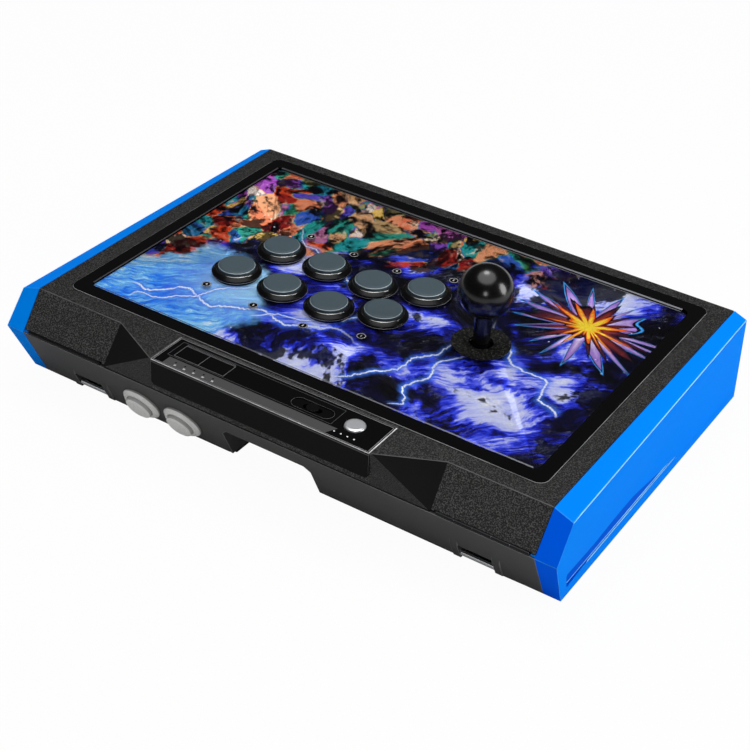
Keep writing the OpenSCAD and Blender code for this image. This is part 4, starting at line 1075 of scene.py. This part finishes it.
def floor():
    bpy.ops.object.select_all(action="DESELECT")
    bpy.ops.mesh.primitive_plane_add(size=FLOOR_SIZE, location=(0, 0, FLOOR_Z))
    ground = bpy.context.object
    ground.name = "floor"
    f = Finish("floor", Base_Color=tone(225, 225, 225), Roughness=0.9)
    glow = f.node("ShaderNodeEmission", None, {"Color": WHITE, "Strength": 1.0})
    mirrored = f.ray("Is Glossy Ray") + f.ray("Is Transmission Ray")
    seen = f.ray("Is Camera Ray") * 0.965 + mirrored * 0.12
    matt = Wire(f, f.shader.outputs[0])
    shared = f.node("ShaderNodeMixShader", None, {0: seen, 1: matt, 2: glow})
    f.feed(f.output.inputs["Surface"], shared)
    ground.data.materials.append(f.material)


floor()


# Lamps, in metres and watts: a large soft one above with a small one in it, a tall one at the
# right of the view, and a weak one behind the camera

LAMPS = (
    ("key", (-0.03, 0.05, 1.5), (0, 0, 0.05), 1.7, 1.7, 15.0),
    ("core", (0.22, -0.37, 1.45), (0, 0, 0.05), 0.4, 0.4, 3.4),
    ("side", (-1.5, -0.45, 0.62), (0, 0, 0.04), 0.7, 1.1, 13.0),
    ("rear", (-0.9, 1.7, 0.75), (0, 0.1, 0.04), 0.5, 0.5, 3.4),
)


def lamp(name, place, target, width, height, watts):
    data = bpy.data.lights.new(name, "AREA")
    data.shape = "ELLIPSE"
    data.size = width
    data.size_y = height
    data.energy = watts
    obj = bpy.data.objects.new(name, data)
    bpy.context.scene.collection.objects.link(obj)
    obj.location = place
    obj.rotation_euler = (Vector(target) - Vector(place)).to_track_quat("-Z", "Y").to_euler()


for settings in LAMPS:
    lamp(*settings)


def world():
    """White to the camera, pale near the horizon in gloss, and a dim even studio elsewhere."""
    made = bpy.data.worlds.new("studio")
    bpy.context.scene.world = made
    w = Nodes(made)
    way = w.node("ShaderNodeTexCoord", output="Generated")
    z = w.node("ShaderNodeSeparateXYZ", values={0: way}, output="Z")
    low = (1.0 - abs(z) * 3.2).most(0.0)
    mirrored = w.ray("Is Glossy Ray").most(w.ray("Is Transmission Ray"))
    seen = w.ray("Is Camera Ray") + mirrored * low * 0.03
    strength = 0.14 - mirrored * 0.115
    dim = w.node("ShaderNodeBackground", None, {"Color": WHITE, "Strength": strength})
    white = w.node("ShaderNodeBackground", None, {"Color": WHITE, "Strength": 1.0})
    shared = w.node("ShaderNodeMixShader", None, {0: seen, 1: dim, 2: white})
    w.feed(w.tree.nodes.new("ShaderNodeOutputWorld").inputs["Surface"], shared)


world()
bpy.context.scene.view_settings.view_transform = "Standard"


# The camera, at the photograph's place

CAMERA_PLACE = Vector((-464.7, 764.5, 627.0)) * MM
AZIMUTH, ELEVATION, ROLL = (math.radians(a) for a in (211.269, 34.269, 3.199))
SENSOR = 36.0
LENS = 78.29
SHIFT = (-0.00484, -0.00896)


def camera():
    back = Vector((
        math.sin(AZIMUTH) * math.cos(ELEVATION),
        -math.cos(AZIMUTH) * math.cos(ELEVATION),
        math.sin(ELEVATION),
    ))
    level = Vector((0, 0, 1)).cross(back).normalized()
    upright = back.cross(level)
    right = level * math.cos(ROLL) + upright * math.sin(ROLL)
    up = back.cross(right)
    data = bpy.data.cameras.new("camera")
    data.sensor_width = SENSOR
    data.lens = LENS
    data.shift_x, data.shift_y = SHIFT
    obj = bpy.data.objects.new("camera", data)
    bpy.context.scene.collection.objects.link(obj)
    turn = Matrix((right, up, back)).transposed().to_4x4()
    obj.matrix_world = Matrix.Translation(CAMERA_PLACE) @ turn
    bpy.context.scene.camera = obj


camera()
